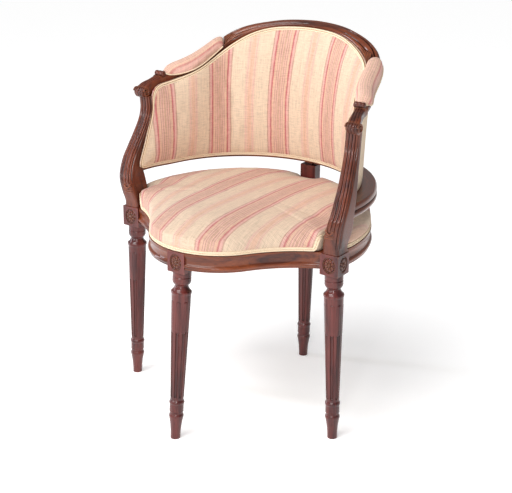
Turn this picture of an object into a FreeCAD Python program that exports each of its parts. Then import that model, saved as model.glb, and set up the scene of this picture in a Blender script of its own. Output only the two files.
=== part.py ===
import FreeCAD, Part
import math
import os

# Desk armchair with a half-round back. Millimetres, +X to the sitter's left, -Y the front, +Z up.
# The origin is on the floor, in the middle of the chair's box.

# Seat frame in plan
BACK_CENTRE_Y = -11
REAR_RADIUS = 274
BOW_RADIUS = 151
BOW_FRONT_Y = -251
BOW_HALF_ANGLE = 57
FLANK_RADIUS = 275
RAIL_WIDTH = 27

# Seat frame in height
RAIL_TOP = 417
RAIL_BOTTOM = 382
BLOCK_BOTTOM = 372
BLOCK = 43

# Leg positions: centre of the block, then the lean of the foot away from it
FRONT_LEG_Y = -230
SIDE_LEG_X = 261
SIDE_LEG_Y = -65
BACK_LEG_Y = 243
FRONT_LEG_LEAN = 33
SIDE_LEG_LEAN = 10
BACK_LEG_LEAN = -4

# Turned leg
FLUTES = 8
FLUTE_BOTTOM = 96
FLUTE_TOP = 304
CABLE_BOTTOM = 243
FLUTE_SHARE = 0.24
FLUTE_SET_OUT = 0.15
CABLE_SIZE = 1.6
CABLE_PROUD = 0.1
SHAFT_BOTTOM = 87
SHAFT_TOP = 321
SHAFT_LOW_RADIUS = 14.1
SHAFT_HIGH_RADIUS = 20.5
FOOT_RADIUS = 10.6
FOOT_SPARE = 4

# Outline of the leg below and above its fluted shaft: radius, height, bow of the edge to the next point
FOOT_PROFILE = [
    (FOOT_RADIUS, 0, -1.2),
    (15, 46, 1.2),
    (14, 55, 0),
    (13.6, 58, 0),
    (15, 60, 0),
    (15, 77, 1.2),
    (15, 85, 0),
]
NECK_PROFILE = [
    (21.2, 322.5, 0.5),
    (21.2, 328, -1),
    (14.4, 338, -0.4),
    (14.4, 341, 1.8),
    (19.4, 353, 0),
    (19.4, 357, 0),
    (18.6, 358.2, 0),
    (19.4, 359.4, 0),
    (19.4, BLOCK_BOTTOM + 4, 0),
]

# Rosettes on the blocks
ROSETTE_WIDTH = 30
ROSETTE_HEIGHT = 35
ROSETTE_SINK = 2.5
PETALS = 8

# Joints of the frame
TENON_LENGTH = 14
TENON_THICK = 9
TENON_BOTTOM = 388
TENON_TOP = 411
DOWEL_RADIUS = 4

# Back frame: the line where the welt meets the show wood climbs from the arms to the crest
ARM_LINE = 690
CREST_RISE = 113
RISE_MIDDLE = 45.7
RISE_SPREAD = 9.8
JOINT_ANGLE = 45
ARM_FRONT_ANGLE = 6
UPPER_RADIUS = 269.5
SHOULDER_SWING = 43
SHOULDER_OUT = 9.5
SHOULDER_SPREAD = 10
WAIST_SWING = 66
WAIST_IN = 19.5
WAIST_SPREAD = 14
UPPER_HALF = 15
BACK_INNER_LOW = 241
BACK_LOW_Z = 494
FLARE_SWING = 76
FLARE_SPREAD = 26
FLARE_OUT = 19
CREST_LIFT = 11
CREST_END_LIFT = 9
TACKING = 16
ARM_LIFT = 6
ARM_DEPTH = 14
ARM_UNDERCUT = 9
LOWER_RAIL_GAP = 1
LOWER_RAIL_OUTER = 283
LOWER_RAIL_BOTTOM = 483
LOWER_RAIL_TOP = 512
LOWER_RAIL_SLOPE = 10
OUTSIDE_SET = 8

# Back post
POST_HALF = 20
POST_FRONT = 241
POST_BACK = 263

# Rolled hand end of the arm
KNUCKLE_Y = -25
KNUCKLE_Z = 667
KNUCKLE_RADIUS = 12
KNUCKLE_INNER_X = 258
KNUCKLE_OUTER_X = 285
SCROLL_Y = 22
SCROLL_Z = 702.5
SCROLL_RADIUS = 6.5
SCROLL_INNER_X = 242
SCROLL_OUTER_X = 269
HAND_CORNER = 5
HAND_TAPER = 7
HAND_TAPER_ANGLE = 9

# Sections of the arm from the pad down to the hand end: y, centre x, width, underside, top
HAND_SECTIONS = [
    (29, 258.5, 27, 681, 699.5),
    (15, 260, 23, 675, 699),
    (1, 263, 23, 664, 692),
    (-15, 268.5, 26, 655, 685),
    (-27, 271.5, 27, 657, 679),
]
SUPPORT_TOP = 662

# Arm support: height, centre x, centre y, width, depth
SUPPORT_SECTIONS = [
    (RAIL_TOP, 261, -65, 39, 39),
    (426, 260.5, -65, 38, 39.5),
    (450, 263, -64.5, 37, 50),
    (475, 268, -65, 35, 54),
    (500, 272.5, -63.5, 33, 46.5),
    (525, 274, -56.5, 31, 41),
    (550, 273, -45, 29, 35),
    (580, 269.5, -31.5, 27, 28.5),
    (610, 266, -18.5, 26, 23.5),
    (632, 265, -14, 26, 21),
    (SUPPORT_TOP, 267.5, -15, 24, 22),
]
SUPPORT_CORNER = 6
REED_PITCH = 7
REED_GROOVE = 1.6

# Seat upholstery
SEAT_CROWN = 479
SEAT_DOME_RADIUS = 1400
SEAT_DOME_Y = -20
NOTCH_X = 239.5
NOTCH_Y = -37
SEAT_SIDE = [(417.3, 8.5), (427, 8), (431, 4.5), (440, 2.5), (449, 4), (456, 9), (462, 16), (468, 28), (474, 44)]
COVER_THICK = 1.5
SOFT_GAP = 0.3
STRAP_WIDTH = 50
STRAP_THICK = 1.2
STRAP_PITCH = 82
HESSIAN_THICK = 0.8
WELT_PROFILE = [(417.3, 4), (419, 2), (421, 2), (421.9, 3.3), (422.8, 2), (424.8, 2), (426.5, 4)]
WELT_INNER = 7.5

# Back upholstery
BACK_SWELL = 17
BACK_STRAP_NEAR = 0.5
BACK_STRAP_FAR = 1.6
BACK_END_ANGLE = -13
OUTSIDE_THICK = 1.5
BACK_WELT_RADIUS = 2.8
COVER_SET_IN = 5.5
BACK_CORNER = 25
BACK_CORNER_Y = 11
BACK_CORNER_Z = 665

# Arm pads
PAD_START = 10.5
PAD_END = 43.5
PAD_RISE = 26
PAD_HALF = 19
PAD_TUCK = 3
PAD_HOLLOW_BELOW = 4
PAD_WELT_RADIUS = 2


def vec(x, y, z=0):
    return FreeCAD.Vector(x, y, z)


UP = vec(0, 0, 1)
ACROSS = vec(1, 0, 0)
BACK_CENTRE = vec(0, BACK_CENTRE_Y)
BOW_CENTRE = vec(0, BOW_FRONT_Y + BOW_RADIUS)


def degrees(angle):
    return math.radians(angle)


def heading(angle):
    # Plan direction that starts at the front, -Y, and turns towards +X.
    return vec(math.sin(degrees(angle)), -math.cos(degrees(angle)))


FLANK_CENTRE = BOW_CENTRE + heading(BOW_HALF_ANGLE) * (BOW_RADIUS + FLANK_RADIUS)


def polar(radius, angle, z):
    # Point about the centre of the back. The angle starts at +X, and 90 is the middle of the back.
    x = radius * math.cos(degrees(angle))
    y = BACK_CENTRE_Y + radius * math.sin(degrees(angle))
    return vec(x, y, z)


def mirrored(shape):
    return shape.mirror(vec(0, 0), ACROSS)


def box(x0, x1, y0, y1, z0, z1):
    return Part.makeBox(x1 - x0, y1 - y0, z1 - z0, vec(x0, y0, z0))


def rod(start, end, radius):
    return Part.makeCylinder(radius, (end - start).Length, start, end - start)


def joined(shapes):
    whole = shapes[0].fuse(shapes[1:])
    return whole.removeSplitter()


def outline(place, corners):
    # Closed wire through corners (u, v, bow). An edge bows to the right of its way by that much.
    edges = []
    for index, (u, v, bow) in enumerate(corners):
        next_u, next_v, _ = corners[(index + 1) % len(corners)]
        start = place(u, v)
        end = place(next_u, next_v)
        if bow == 0:
            edges.append(Part.LineSegment(start, end).toShape())
        else:
            length = math.hypot(next_u - u, next_v - v)
            middle_u = (u + next_u) / 2 + bow * (next_v - v) / length
            middle_v = (v + next_v) / 2 - bow * (next_u - u) / length
            edges.append(Part.Arc(start, place(middle_u, middle_v), end).toShape())
    return Part.Wire(edges)


def radial(angle):
    return lambda radius, z: polar(radius, angle, z)


def radial_loft(angles, corners_at):
    # Solid through sections that stand in upright planes about the centre of the back.
    return Part.makeLoft([outline(radial(angle), corners_at(angle)) for angle in angles], True)


def spread(first, last, steps):
    return [first + (last - first) * step / steps for step in range(steps + 1)]


def smooth(t):
    t = min(1, max(0, t))
    return t * t * (3 - 2 * t)


def wood_line(angle):
    # Height of the edge between the show wood and the inside upholstery.
    swing = abs(angle - 90)
    return ARM_LINE + CREST_RISE / (1 + math.exp((swing - RISE_MIDDLE) / RISE_SPREAD))


def upper_middle(angle):
    # Radius of the middle of the arms and crest, which bow in over the pads and out at the shoulders.
    swing = abs(angle - 90)
    shoulder = SHOULDER_OUT * math.exp(-((swing - SHOULDER_SWING) / SHOULDER_SPREAD) ** 2)
    waist = WAIST_IN * math.exp(-((swing - WAIST_SWING) / WAIST_SPREAD) ** 2)
    return UPPER_RADIUS + shoulder - waist


def low_inner(angle):
    # Radius of the back frame's inner face at its foot, which opens out to meet the arm supports.
    return BACK_INNER_LOW + FLARE_OUT * smooth((abs(angle - 90) - FLARE_SWING) / FLARE_SPREAD)


def frame_inner(angle, z):
    # Radius of the back frame's inner face, from the lower rail up to the arms and crest.
    share = (z - BACK_LOW_Z) / (wood_line(angle) - BACK_LOW_Z)
    return low_inner(angle) + (upper_middle(angle) - UPPER_HALF - low_inner(angle)) * share


# Legs
def shaft_radius(z):
    share = (z - SHAFT_BOTTOM) / (SHAFT_TOP - SHAFT_BOTTOM)
    return SHAFT_LOW_RADIUS + (SHAFT_HIGH_RADIUS - SHAFT_LOW_RADIUS) * share


def flute_bar(low, high, size, set_out):
    # Tapered bar with round ends that lies along the shaft. Both factors are shares of the flute's half width.
    ends = []
    for z in (low, high):
        half = FLUTE_SHARE * shaft_radius(z)
        ends.append((vec(shaft_radius(z) + set_out * half, 0, z), size * half))
    (start, start_radius), (end, end_radius) = ends
    bar = Part.makeCone(start_radius, end_radius, (end - start).Length, start, end - start)
    return bar.fuse([Part.makeSphere(start_radius, start), Part.makeSphere(end_radius, end)])


def round_the_leg(shape):
    copies = []
    for index in range(FLUTES):
        copy = shape.copy()
        copy.rotate(vec(0, 0), UP, (index + 0.5) * 360 / FLUTES)
        copies.append(copy)
    return copies


def turned_leg():
    foot_end = [(0, -FOOT_SPARE, 0), (FOOT_RADIUS - 0.2, -FOOT_SPARE, 0)]
    shaft = [(SHAFT_LOW_RADIUS, SHAFT_BOTTOM, 0), (SHAFT_HIGH_RADIUS, SHAFT_TOP, 0)]
    top_end = [(0, BLOCK_BOTTOM + 4, 0)]
    profile = foot_end + FOOT_PROFILE + shaft + NECK_PROFILE + top_end
    face = Part.Face(outline(lambda r, z: vec(r, 0, z), profile))
    leg = face.revolve(vec(0, 0), UP, 360)
    leg = leg.cut(round_the_leg(flute_bar(FLUTE_BOTTOM, FLUTE_TOP, 1, FLUTE_SET_OUT)))
    return leg.fuse(round_the_leg(flute_bar(CABLE_BOTTOM, FLUTE_TOP, CABLE_SIZE, CABLE_PROUD - CABLE_SIZE)))


def rosette_pieces():
    # A sunk oval and the flower in it, for a face that looks along -Y with its middle at the origin.
    ellipse = Part.Ellipse(vec(0, 0), ROSETTE_HEIGHT / 2, ROSETTE_WIDTH / 2).toShape()
    sunk = Part.Face(Part.Wire([ellipse])).extrude(vec(0, 0, ROSETTE_SINK + 1))
    sunk.rotate(vec(0, 0), UP, 90)
    sunk.translate(vec(0, 0, -ROSETTE_SINK))
    flower = [Part.makeSphere(5.5, vec(0, 0, -5))]
    for index in range(PETALS):
        turn = degrees(index * 360 / PETALS)
        place = vec(0.3 * ROSETTE_WIDTH * math.cos(turn), 0.31 * ROSETTE_HEIGHT * math.sin(turn), -4.7)
        flower.append(Part.makeSphere(4.5, place))
    for piece in [sunk] + flower:
        piece.rotate(vec(0, 0), ACROSS, 90)
    return sunk, flower


def leg(x, y, lean_x, lean_y, rosette_turns, mortises):
    turned = turned_leg()
    top = vec(0, 0, BLOCK_BOTTOM)
    axis = vec(lean_y, -lean_x, 0)
    lean = math.degrees(math.atan(math.hypot(lean_x, lean_y) / BLOCK_BOTTOM))
    turned.rotate(top, axis, lean)
    below_floor = box(-BLOCK - 60, BLOCK + 60, -BLOCK - 60, BLOCK + 60, -60, 0)
    turned = turned.cut(below_floor)
    half = BLOCK / 2
    block = box(-half, half, -half, half, BLOCK_BOTTOM, RAIL_TOP)
    for turn in rosette_turns:
        sunk, flower = rosette_pieces()
        for piece in [sunk] + flower:
            piece.translate(vec(0, -half, (BLOCK_BOTTOM + RAIL_TOP) / 2))
            piece.rotate(vec(0, 0), UP, turn)
        block = block.cut(sunk).fuse(flower)
    whole = joined([block, turned])
    whole.translate(vec(x, y))
    return whole.cut(mortises)


# Seat rails
RAIL_PROFILE = [
    (-RAIL_WIDTH, RAIL_BOTTOM, 0),
    (-1, RAIL_BOTTOM, 0),
    (-1, RAIL_BOTTOM + 3, 3),
    (-1, RAIL_BOTTOM + 12, 0),
    (-2.5, RAIL_BOTTOM + 13.5, -1.2),
    (0, RAIL_TOP - 6, 0),
    (0, RAIL_TOP, 0),
    (-RAIL_WIDTH, RAIL_TOP, 0),
]
BLOCK_HALF = BLOCK / 2
SIDE_BLOCK_INNER = SIDE_LEG_X - BLOCK_HALF
SIDE_BLOCK_BACK = SIDE_LEG_Y + BLOCK_HALF
FRONT_TENON = box(BLOCK_HALF - TENON_LENGTH, BLOCK_HALF, -240.5, -240.5 + TENON_THICK, TENON_BOTTOM, TENON_TOP)
SIDE_FRONT_TENON = box(
    SIDE_BLOCK_INNER, SIDE_BLOCK_INNER + TENON_LENGTH, -72.5, -72.5 + TENON_THICK, TENON_BOTTOM, TENON_TOP
)
SIDE_BACK_TENON = box(
    254, 254 + TENON_THICK, SIDE_BLOCK_BACK - TENON_LENGTH, SIDE_BLOCK_BACK, TENON_BOTTOM, TENON_TOP
)
BACK_TENON = box(BLOCK_HALF - 12, BLOCK_HALF, 245, 245 + TENON_THICK, TENON_BOTTOM, TENON_TOP)


def front_rail():
    start = 5
    along_bow = outline(lambda n, z: BOW_CENTRE + heading(start) * (BOW_RADIUS + n) + UP * z, RAIL_PROFILE)
    bow = Part.Face(along_bow).revolve(BOW_CENTRE, UP, BOW_HALF_ANGLE - start)
    back_to = heading(BOW_HALF_ANGLE)
    along_flank = outline(lambda n, z: FLANK_CENTRE - back_to * (FLANK_RADIUS - n) + UP * z, RAIL_PROFILE)
    flank = Part.Face(along_flank).revolve(FLANK_CENTRE, UP, -36)
    rail = joined([bow, flank])
    rail = rail.common(box(BLOCK_HALF, SIDE_BLOCK_INNER, -400, 100, 0, 500))
    return joined([rail, FRONT_TENON, SIDE_FRONT_TENON])


def rear_rail():
    start = -10
    profile = outline(lambda n, z: polar(REAR_RADIUS + n, start, z), RAIL_PROFILE)
    rail = Part.Face(profile).revolve(BACK_CENTRE, UP, 100)
    rail = rail.common(box(BLOCK_HALF, 400, SIDE_BLOCK_BACK, 400, 0, 500))
    return joined([rail, SIDE_BACK_TENON, BACK_TENON])


# Corner blocks and their screws
SCREW_RADIUS = 2
SCREW_HEAD = 4
SCREW_LENGTH = 36
CORNER_BOTTOM = 390
CORNER_TOP = 415
CORNER_PLANS = [
    [(-70, -216), (70, -216), (58, -186), (-58, -186)],
    [(186, -92), (248, -64), (258, 2), (232, 2), (186, -52)],
    [(-58, 210), (58, 210), (70, 240), (-70, 240)],
]
SCREW_STARTS = [
    (vec(42, -186), vec(0, -1)),
    (vec(207, -33.9), vec(0.42, -0.91)),
    (vec(220, -13), vec(1, 0)),
    (vec(42, 210), vec(0, 1)),
]


def corner_blocks(frame):
    blocks = []
    for index, plan in enumerate(CORNER_PLANS):
        wire = Part.makePolygon([vec(x, y, CORNER_BOTTOM) for x, y in plan + plan[:1]])
        block = Part.Face(wire).extrude(UP * (CORNER_TOP - CORNER_BOTTOM))
        blocks.append(block)
        if index == 1:
            blocks.append(mirrored(block))
    return [block.cut(frame) for block in blocks]


def corner_screws():
    screws = []
    for start, way in SCREW_STARTS:
        foot = start + UP * ((CORNER_BOTTOM + CORNER_TOP) / 2)
        shank = Part.makeCylinder(SCREW_RADIUS, SCREW_LENGTH, foot, way)
        head = Part.makeCone(SCREW_HEAD, SCREW_RADIUS, SCREW_HEAD - SCREW_RADIUS, foot, way)
        screw = joined([shank, head])
        screws.append(screw)
        screws.append(mirrored(screw))
    return screws


# Arm supports
def rounded(x, y, width, depth, z, corner):
    half_w = width / 2
    half_d = depth / 2
    bow = corner * (1 - math.sqrt(0.5))
    corners = [
        (x - half_w + corner, y - half_d, 0),
        (x + half_w - corner, y - half_d, bow),
        (x + half_w, y - half_d + corner, 0),
        (x + half_w, y + half_d - corner, bow),
        (x + half_w - corner, y + half_d, 0),
        (x - half_w + corner, y + half_d, bow),
        (x - half_w, y + half_d - corner, 0),
        (x - half_w, y - half_d + corner, bow),
    ]
    return outline(lambda u, v: vec(u, v, z), corners)


def arm_support():
    body = Part.makeLoft([rounded(x, y, w, d, z, SUPPORT_CORNER) for z, x, y, w, d in SUPPORT_SECTIONS], True)
    grooves = []
    for place in (-1, 0, 1):
        rings = []
        for z, x, y, _, depth in SUPPORT_SECTIONS[1:]:
            middle = vec(x + place * REED_PITCH, y - depth / 2 - 0.3, z)
            rings.append(Part.Wire([Part.makeCircle(REED_GROOVE, middle, UP)]))
        grooves.append(Part.makeLoft(rings, True))
    return body.cut(grooves)


# Back frame
def crest_corners(angle):
    line = wood_line(angle)
    lift = CREST_LIFT + CREST_END_LIFT * smooth((abs(angle - 90) - 22) / 23)
    inner = upper_middle(angle) - UPPER_HALF
    outer = upper_middle(angle) + UPPER_HALF
    third = 2 * UPPER_HALF / 3
    return [
        (inner, line - TACKING, 0),
        (outer - 3, line - TACKING, 1.5),
        (outer, line - 2, 2),
        (outer - third, line + 0.8 * lift, 1.5),
        (inner + third, line + lift, 1.8),
        (inner - 1, line + 2, 0),
        (inner - 1, line, 0),
        (inner, line, 0),
    ]


def arm_corners(angle):
    # The outer side draws in towards the hand end.
    line = wood_line(angle)
    inner = upper_middle(angle) - UPPER_HALF
    drawn_in = HAND_TAPER * smooth((ARM_FRONT_ANGLE + HAND_TAPER_ANGLE - angle) / HAND_TAPER_ANGLE)
    outer = upper_middle(angle) + UPPER_HALF - drawn_in
    return [
        (inner, line - ARM_DEPTH, 0),
        (outer - ARM_UNDERCUT, line - ARM_DEPTH, 2),
        (outer, line + ARM_LIFT, 0),
        (inner, line + ARM_LIFT, 0),
    ]


def crest_rail():
    return radial_loft(spread(JOINT_ANGLE, 180 - JOINT_ANGLE, 12), crest_corners)


def hand_section(y, x, width, low, high):
    half = width / 2
    bow = HAND_CORNER * (1 - math.sqrt(0.5))
    corners = [
        (x - half, low, 0),
        (x + half, low, 0),
        (x + half, high - HAND_CORNER, bow),
        (x + half - HAND_CORNER, high, 0),
        (x - half + HAND_CORNER, high, bow),
        (x - half, high - HAND_CORNER, 0),
    ]
    return outline(lambda u, v: vec(u, y, v), corners)


def arm():
    under_pad = radial_loft(spread(ARM_FRONT_ANGLE, JOINT_ANGLE, 8), arm_corners)
    hand_end = Part.makeLoft([hand_section(*section) for section in HAND_SECTIONS], True)
    knuckle = rod(
        vec(KNUCKLE_INNER_X, KNUCKLE_Y, KNUCKLE_Z), vec(KNUCKLE_OUTER_X, KNUCKLE_Y, KNUCKLE_Z), KNUCKLE_RADIUS
    )
    scroll = rod(vec(SCROLL_INNER_X, SCROLL_Y, SCROLL_Z), vec(SCROLL_OUTER_X, SCROLL_Y, SCROLL_Z), SCROLL_RADIUS)
    return joined([under_pad, hand_end, knuckle, scroll])


LOWER_TENON = box(265, 277, -58, -38, 489, 506)


def lower_rail_corners(angle):
    inner = low_inner(angle) + LOWER_RAIL_GAP
    return [
        (inner, LOWER_RAIL_BOTTOM + LOWER_RAIL_SLOPE, 0),
        (LOWER_RAIL_OUTER - 4, LOWER_RAIL_BOTTOM, 0),
        (LOWER_RAIL_OUTER - 2, LOWER_RAIL_BOTTOM + 3, 2),
        (LOWER_RAIL_OUTER - 2, LOWER_RAIL_BOTTOM + 12, 0),
        (LOWER_RAIL_OUTER - 4, LOWER_RAIL_BOTTOM + 14, 0),
        (LOWER_RAIL_OUTER - 1, LOWER_RAIL_BOTTOM + 17, 1.5),
        (LOWER_RAIL_OUTER - 4, LOWER_RAIL_TOP, 0),
        (inner, LOWER_RAIL_TOP, 0),
    ]


def lower_rail(support):
    rail = radial_loft(spread(-12, 90, 17), lower_rail_corners)
    rail = rail.common(box(0, 400, -44, 400, 0, 900))
    rail = rail.cut(support)
    return joined([rail, LOWER_TENON])


POST_TENONS = [box(-7, 7, 247, 257, RAIL_TOP - 12, RAIL_TOP), box(-7, 7, 247, 257, LOWER_RAIL_BOTTOM, 499)]


def back_post():
    body = box(-POST_HALF, POST_HALF, POST_FRONT, POST_BACK, RAIL_TOP, LOWER_RAIL_BOTTOM)
    return joined([body] + POST_TENONS)


# Dowels of the glued joints
def joint_tangent(angle):
    step = 1
    ahead = polar(upper_middle(angle + step), angle + step, wood_line(angle + step))
    behind = polar(upper_middle(angle - step), angle - step, wood_line(angle - step))
    way = ahead - behind
    return way.normalize()


SUPPORT_DOWELS = [rod(vec(x, y, 397), vec(x, y, 437), DOWEL_RADIUS) for x, y in ((271, -76), (249, -52))]
ARM_DOWEL = rod(vec(266.5, -14, SUPPORT_TOP - 30), vec(266.5, -14, SUPPORT_TOP + 10), DOWEL_RADIUS)
CREST_MIDDLE = polar(upper_middle(JOINT_ANGLE), JOINT_ANGLE, wood_line(JOINT_ANGLE) - 5)
CREST_WAY = joint_tangent(JOINT_ANGLE)
CREST_DOWEL = rod(CREST_MIDDLE - CREST_WAY * 18, CREST_MIDDLE + CREST_WAY * 18, DOWEL_RADIUS - 0.5)
LOWER_DOWELS = [rod(vec(-16, y, 503), vec(16, y, 503), DOWEL_RADIUS) for y in (241, 263)]


# Seat upholstery
def seat_outline(inset, z):
    # The seat's edge in plan, set in from the rails' outer faces and cut round the arm supports and back post.
    turn = heading(BOW_HALF_ANGLE)
    bow = BOW_RADIUS - inset
    flank = FLANK_RADIUS + inset
    rear = REAR_RADIUS - inset
    side_x = NOTCH_X - inset
    side_y = NOTCH_Y + inset
    post_x = POST_HALF + 1 + inset
    post_y = POST_FRONT - 1 - inset
    bow_end = BOW_CENTRE + turn * bow
    flank_end = vec(side_x, FLANK_CENTRE.y + math.sqrt(flank ** 2 - (FLANK_CENTRE.x - side_x) ** 2))
    flank_way = (bow_end + flank_end) * 0.5 - FLANK_CENTRE
    flank_way.normalize()
    rear_start = vec(math.sqrt(rear ** 2 - (side_y - BACK_CENTRE_Y) ** 2), side_y)
    rear_end = vec(post_x, BACK_CENTRE_Y + math.sqrt(rear ** 2 - post_x ** 2))
    rear_way = (rear_start + rear_end) * 0.5 - BACK_CENTRE
    rear_way.normalize()
    right = [
        (bow_end, FLANK_CENTRE + flank_way * flank, flank_end),
        (flank_end, None, vec(side_x, side_y)),
        (vec(side_x, side_y), None, rear_start),
        (rear_start, BACK_CENTRE + rear_way * rear, rear_end),
        (rear_end, None, vec(post_x, post_y)),
    ]

    def flip(point):
        return point and vec(-point.x, point.y)

    left = [(flip(end), flip(middle), flip(start)) for start, middle, end in reversed(right)]
    across = [(vec(post_x, post_y), None, vec(-post_x, post_y))]
    front = [(flip(bow_end), BOW_CENTRE + heading(0) * bow, bow_end)]
    edges = []
    for start, middle, end in front + right + across + left:
        curve = Part.Arc(start, middle, end) if middle else Part.LineSegment(start, end)
        edges.append(curve.toShape())
    wire = Part.Wire(edges)
    wire.translate(UP * z)
    return wire


def seat_slab(inset, low, high):
    return Part.Face(seat_outline(inset, low)).extrude(UP * (high - low))


def seat_form(inset, lowest):
    # The crowned seat, all over smaller by the inset, from the given height up.
    rings = [seat_outline(side + inset, max(z, lowest)) for z, side in SEAT_SIDE if z >= lowest - 4]
    sides = Part.makeLoft(rings, True, True)
    dome = Part.makeSphere(SEAT_DOME_RADIUS - inset, vec(0, SEAT_DOME_Y, SEAT_CROWN - SEAT_DOME_RADIUS))
    return sides.common(dome)


def seat_webbing():
    region = seat_slab(14, 0, 900)
    straps = []
    for index in (-2, -1, 0, 1, 2):
        middle = index * STRAP_PITCH
        lengthwise = box(
            middle - STRAP_WIDTH / 2, middle + STRAP_WIDTH / 2, -400, 400, RAIL_TOP, RAIL_TOP + STRAP_THICK
        )
        crosswise = box(
            -400, 400, middle - STRAP_WIDTH / 2, middle + STRAP_WIDTH / 2,
            RAIL_TOP + STRAP_THICK, RAIL_TOP + 2 * STRAP_THICK
        )
        straps.append(lengthwise.common(region))
        straps.append(crosswise.common(region))
    return straps


HESSIAN_LOW = RAIL_TOP + 2 * STRAP_THICK
HESSIAN_HIGH = HESSIAN_LOW + HESSIAN_THICK


def seat_welt():
    rings = [seat_outline(inset, z) for z, inset in WELT_PROFILE]
    cords = Part.makeLoft(rings, True, True)
    return cords.cut(seat_slab(WELT_INNER, 400, 440))


# Back upholstery
def back_swell(angle):
    # Padding that dies away towards the two front edges of the back.
    return BACK_SWELL * (1 - (abs(angle - 90) / 100) ** 6)


def back_layer(near, far, swell_share, gap=0):
    # Corners of a layer of the back between two depths inside the frame's inner face.
    def corners(angle):
        low = BACK_LOW_Z + 1 + gap
        high = wood_line(angle) - 1 - gap
        middle = back_swell(angle) * swell_share
        near_bow = middle if swell_share else 0
        return [
            (frame_inner(angle, low) - far, low, 0),
            (frame_inner(angle, low) - near, low, 0),
            (frame_inner(angle, high) - near, high, 0),
            (frame_inner(angle, high) - far, high, near_bow),
        ]
    return corners


def back_cover_corners(angle):
    low = BACK_LOW_Z + 1
    high = wood_line(angle) - 1
    swell = back_swell(angle)
    return [
        (frame_inner(angle, low) - COVER_SET_IN, low, 0),
        (frame_inner(angle, low) - COVER_SET_IN + COVER_THICK, low, -swell),
        (frame_inner(angle, high) - COVER_SET_IN + COVER_THICK, high, 0),
        (frame_inner(angle, high) - COVER_SET_IN, high, swell),
    ]


def outside_corners(angle):
    low = LOWER_RAIL_TOP + SOFT_GAP
    high = wood_line(angle) - TACKING - SOFT_GAP
    return [
        (frame_inner(angle, low) + OUTSIDE_SET, low, 0),
        (frame_inner(angle, low) + OUTSIDE_SET + OUTSIDE_THICK, low, 0),
        (frame_inner(angle, high) + OUTSIDE_SET + OUTSIDE_THICK, high, 0),
        (frame_inner(angle, high) + OUTSIDE_SET, high, 0),
    ]


def in_front_of(edge_at):
    # Everything in front of a line up the arm supports, which the back upholstery stops at.
    edge = [vec(-400, edge_at(y, depth), z) for z, _, y, _, depth in SUPPORT_SECTIONS]
    edge = [vec(-400, edge[0].y, 300)] + edge + [vec(-400, edge[-1].y, 900)]
    curve = Part.BSplineCurve()
    curve.interpolate(edge)
    low = vec(-400, -300, 300)
    high = vec(-400, -300, 900)
    lines = [
        Part.LineSegment(edge[-1], high).toShape(),
        Part.LineSegment(high, low).toShape(),
        Part.LineSegment(low, edge[0]).toShape(),
    ]
    face = Part.Face(Part.Wire([curve.toShape()] + lines))
    return face.extrude(ACROSS * 800)


def past_front_corners():
    # What the rounded upper front corners of the inside back leave out.
    middle = vec(-400, BACK_CORNER_Y, BACK_CORNER_Z)
    block = box(-400, 400, BACK_CORNER_Y - 60, BACK_CORNER_Y, BACK_CORNER_Z, BACK_CORNER_Z + 60)
    return block.cut(rod(middle, middle + ACROSS * 800, BACK_CORNER))


BACK_ANGLES = spread(BACK_END_ANGLE, 180 - BACK_END_ANGLE, 26)


def back_straps():
    straps = []
    for middle in (30, 60, 90, 120, 150):
        def corners(angle):
            low = BACK_LOW_Z + 6
            high = wood_line(angle) - 8
            return [
                (frame_inner(angle, low) - BACK_STRAP_FAR, low, 0),
                (frame_inner(angle, low) - BACK_STRAP_NEAR, low, 0),
                (frame_inner(angle, high) - BACK_STRAP_NEAR, high, 0),
                (frame_inner(angle, high) - BACK_STRAP_FAR, high, 0),
            ]
        straps.append(radial_loft(spread(middle - 5.5, middle + 5.5, 3), corners))
    return straps


def cord(points, radius):
    curve = Part.BSplineCurve()
    curve.interpolate(points)
    way = curve.tangent(curve.FirstParameter)[0]
    ring = Part.Wire([Part.makeCircle(radius, points[0], way)])
    return Part.Wire([curve.toShape()]).makePipeShell([ring], True, True)


def welt_place(y, angle, z):
    # Point of the inside back's welt, on the cover, either at a given y near a front edge or at an angle.
    if y is not None:
        angle = math.degrees(math.asin((y - BACK_CENTRE_Y) / UPPER_RADIUS))
    share = (z - BACK_LOW_Z) / (wood_line(angle) - BACK_LOW_Z)
    cover_depth = COVER_SET_IN + 4 * back_swell(angle) * share * (1 - share)
    radius = frame_inner(angle, z) - cover_depth - BACK_WELT_RADIUS - 4 * SOFT_GAP
    if y is None:
        return polar(radius, angle, z)
    return vec(math.sqrt(radius ** 2 - (y - BACK_CENTRE_Y) ** 2), y, z)


def back_welt():
    # One cord goes up the front edges and along under the show wood, the other along the bottom.
    rise = []
    for z, _, y, _, _ in SUPPORT_SECTIONS[4:-1]:
        rise.append(welt_place(y + BACK_WELT_RADIUS, None, max(z, BACK_LOW_Z + 3 * BACK_WELT_RADIUS)))
    for turn in (180, 135):
        reach = BACK_CORNER - BACK_WELT_RADIUS
        y = BACK_CORNER_Y + reach * math.cos(degrees(turn))
        z = BACK_CORNER_Z + reach * math.sin(degrees(turn))
        rise.append(welt_place(y, None, z))
    top = [welt_place(None, angle, wood_line(angle) - BACK_WELT_RADIUS) for angle in spread(7, 173, 24)]
    fall = [vec(-point.x, point.y, point.z) for point in reversed(rise)]
    low = BACK_LOW_Z + 1 + BACK_WELT_RADIUS
    bottom = [welt_place(None, angle, low) for angle in spread(-11, 191, 26)]
    return [cord(rise + top + fall, BACK_WELT_RADIUS), cord(bottom, BACK_WELT_RADIUS)]


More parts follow.
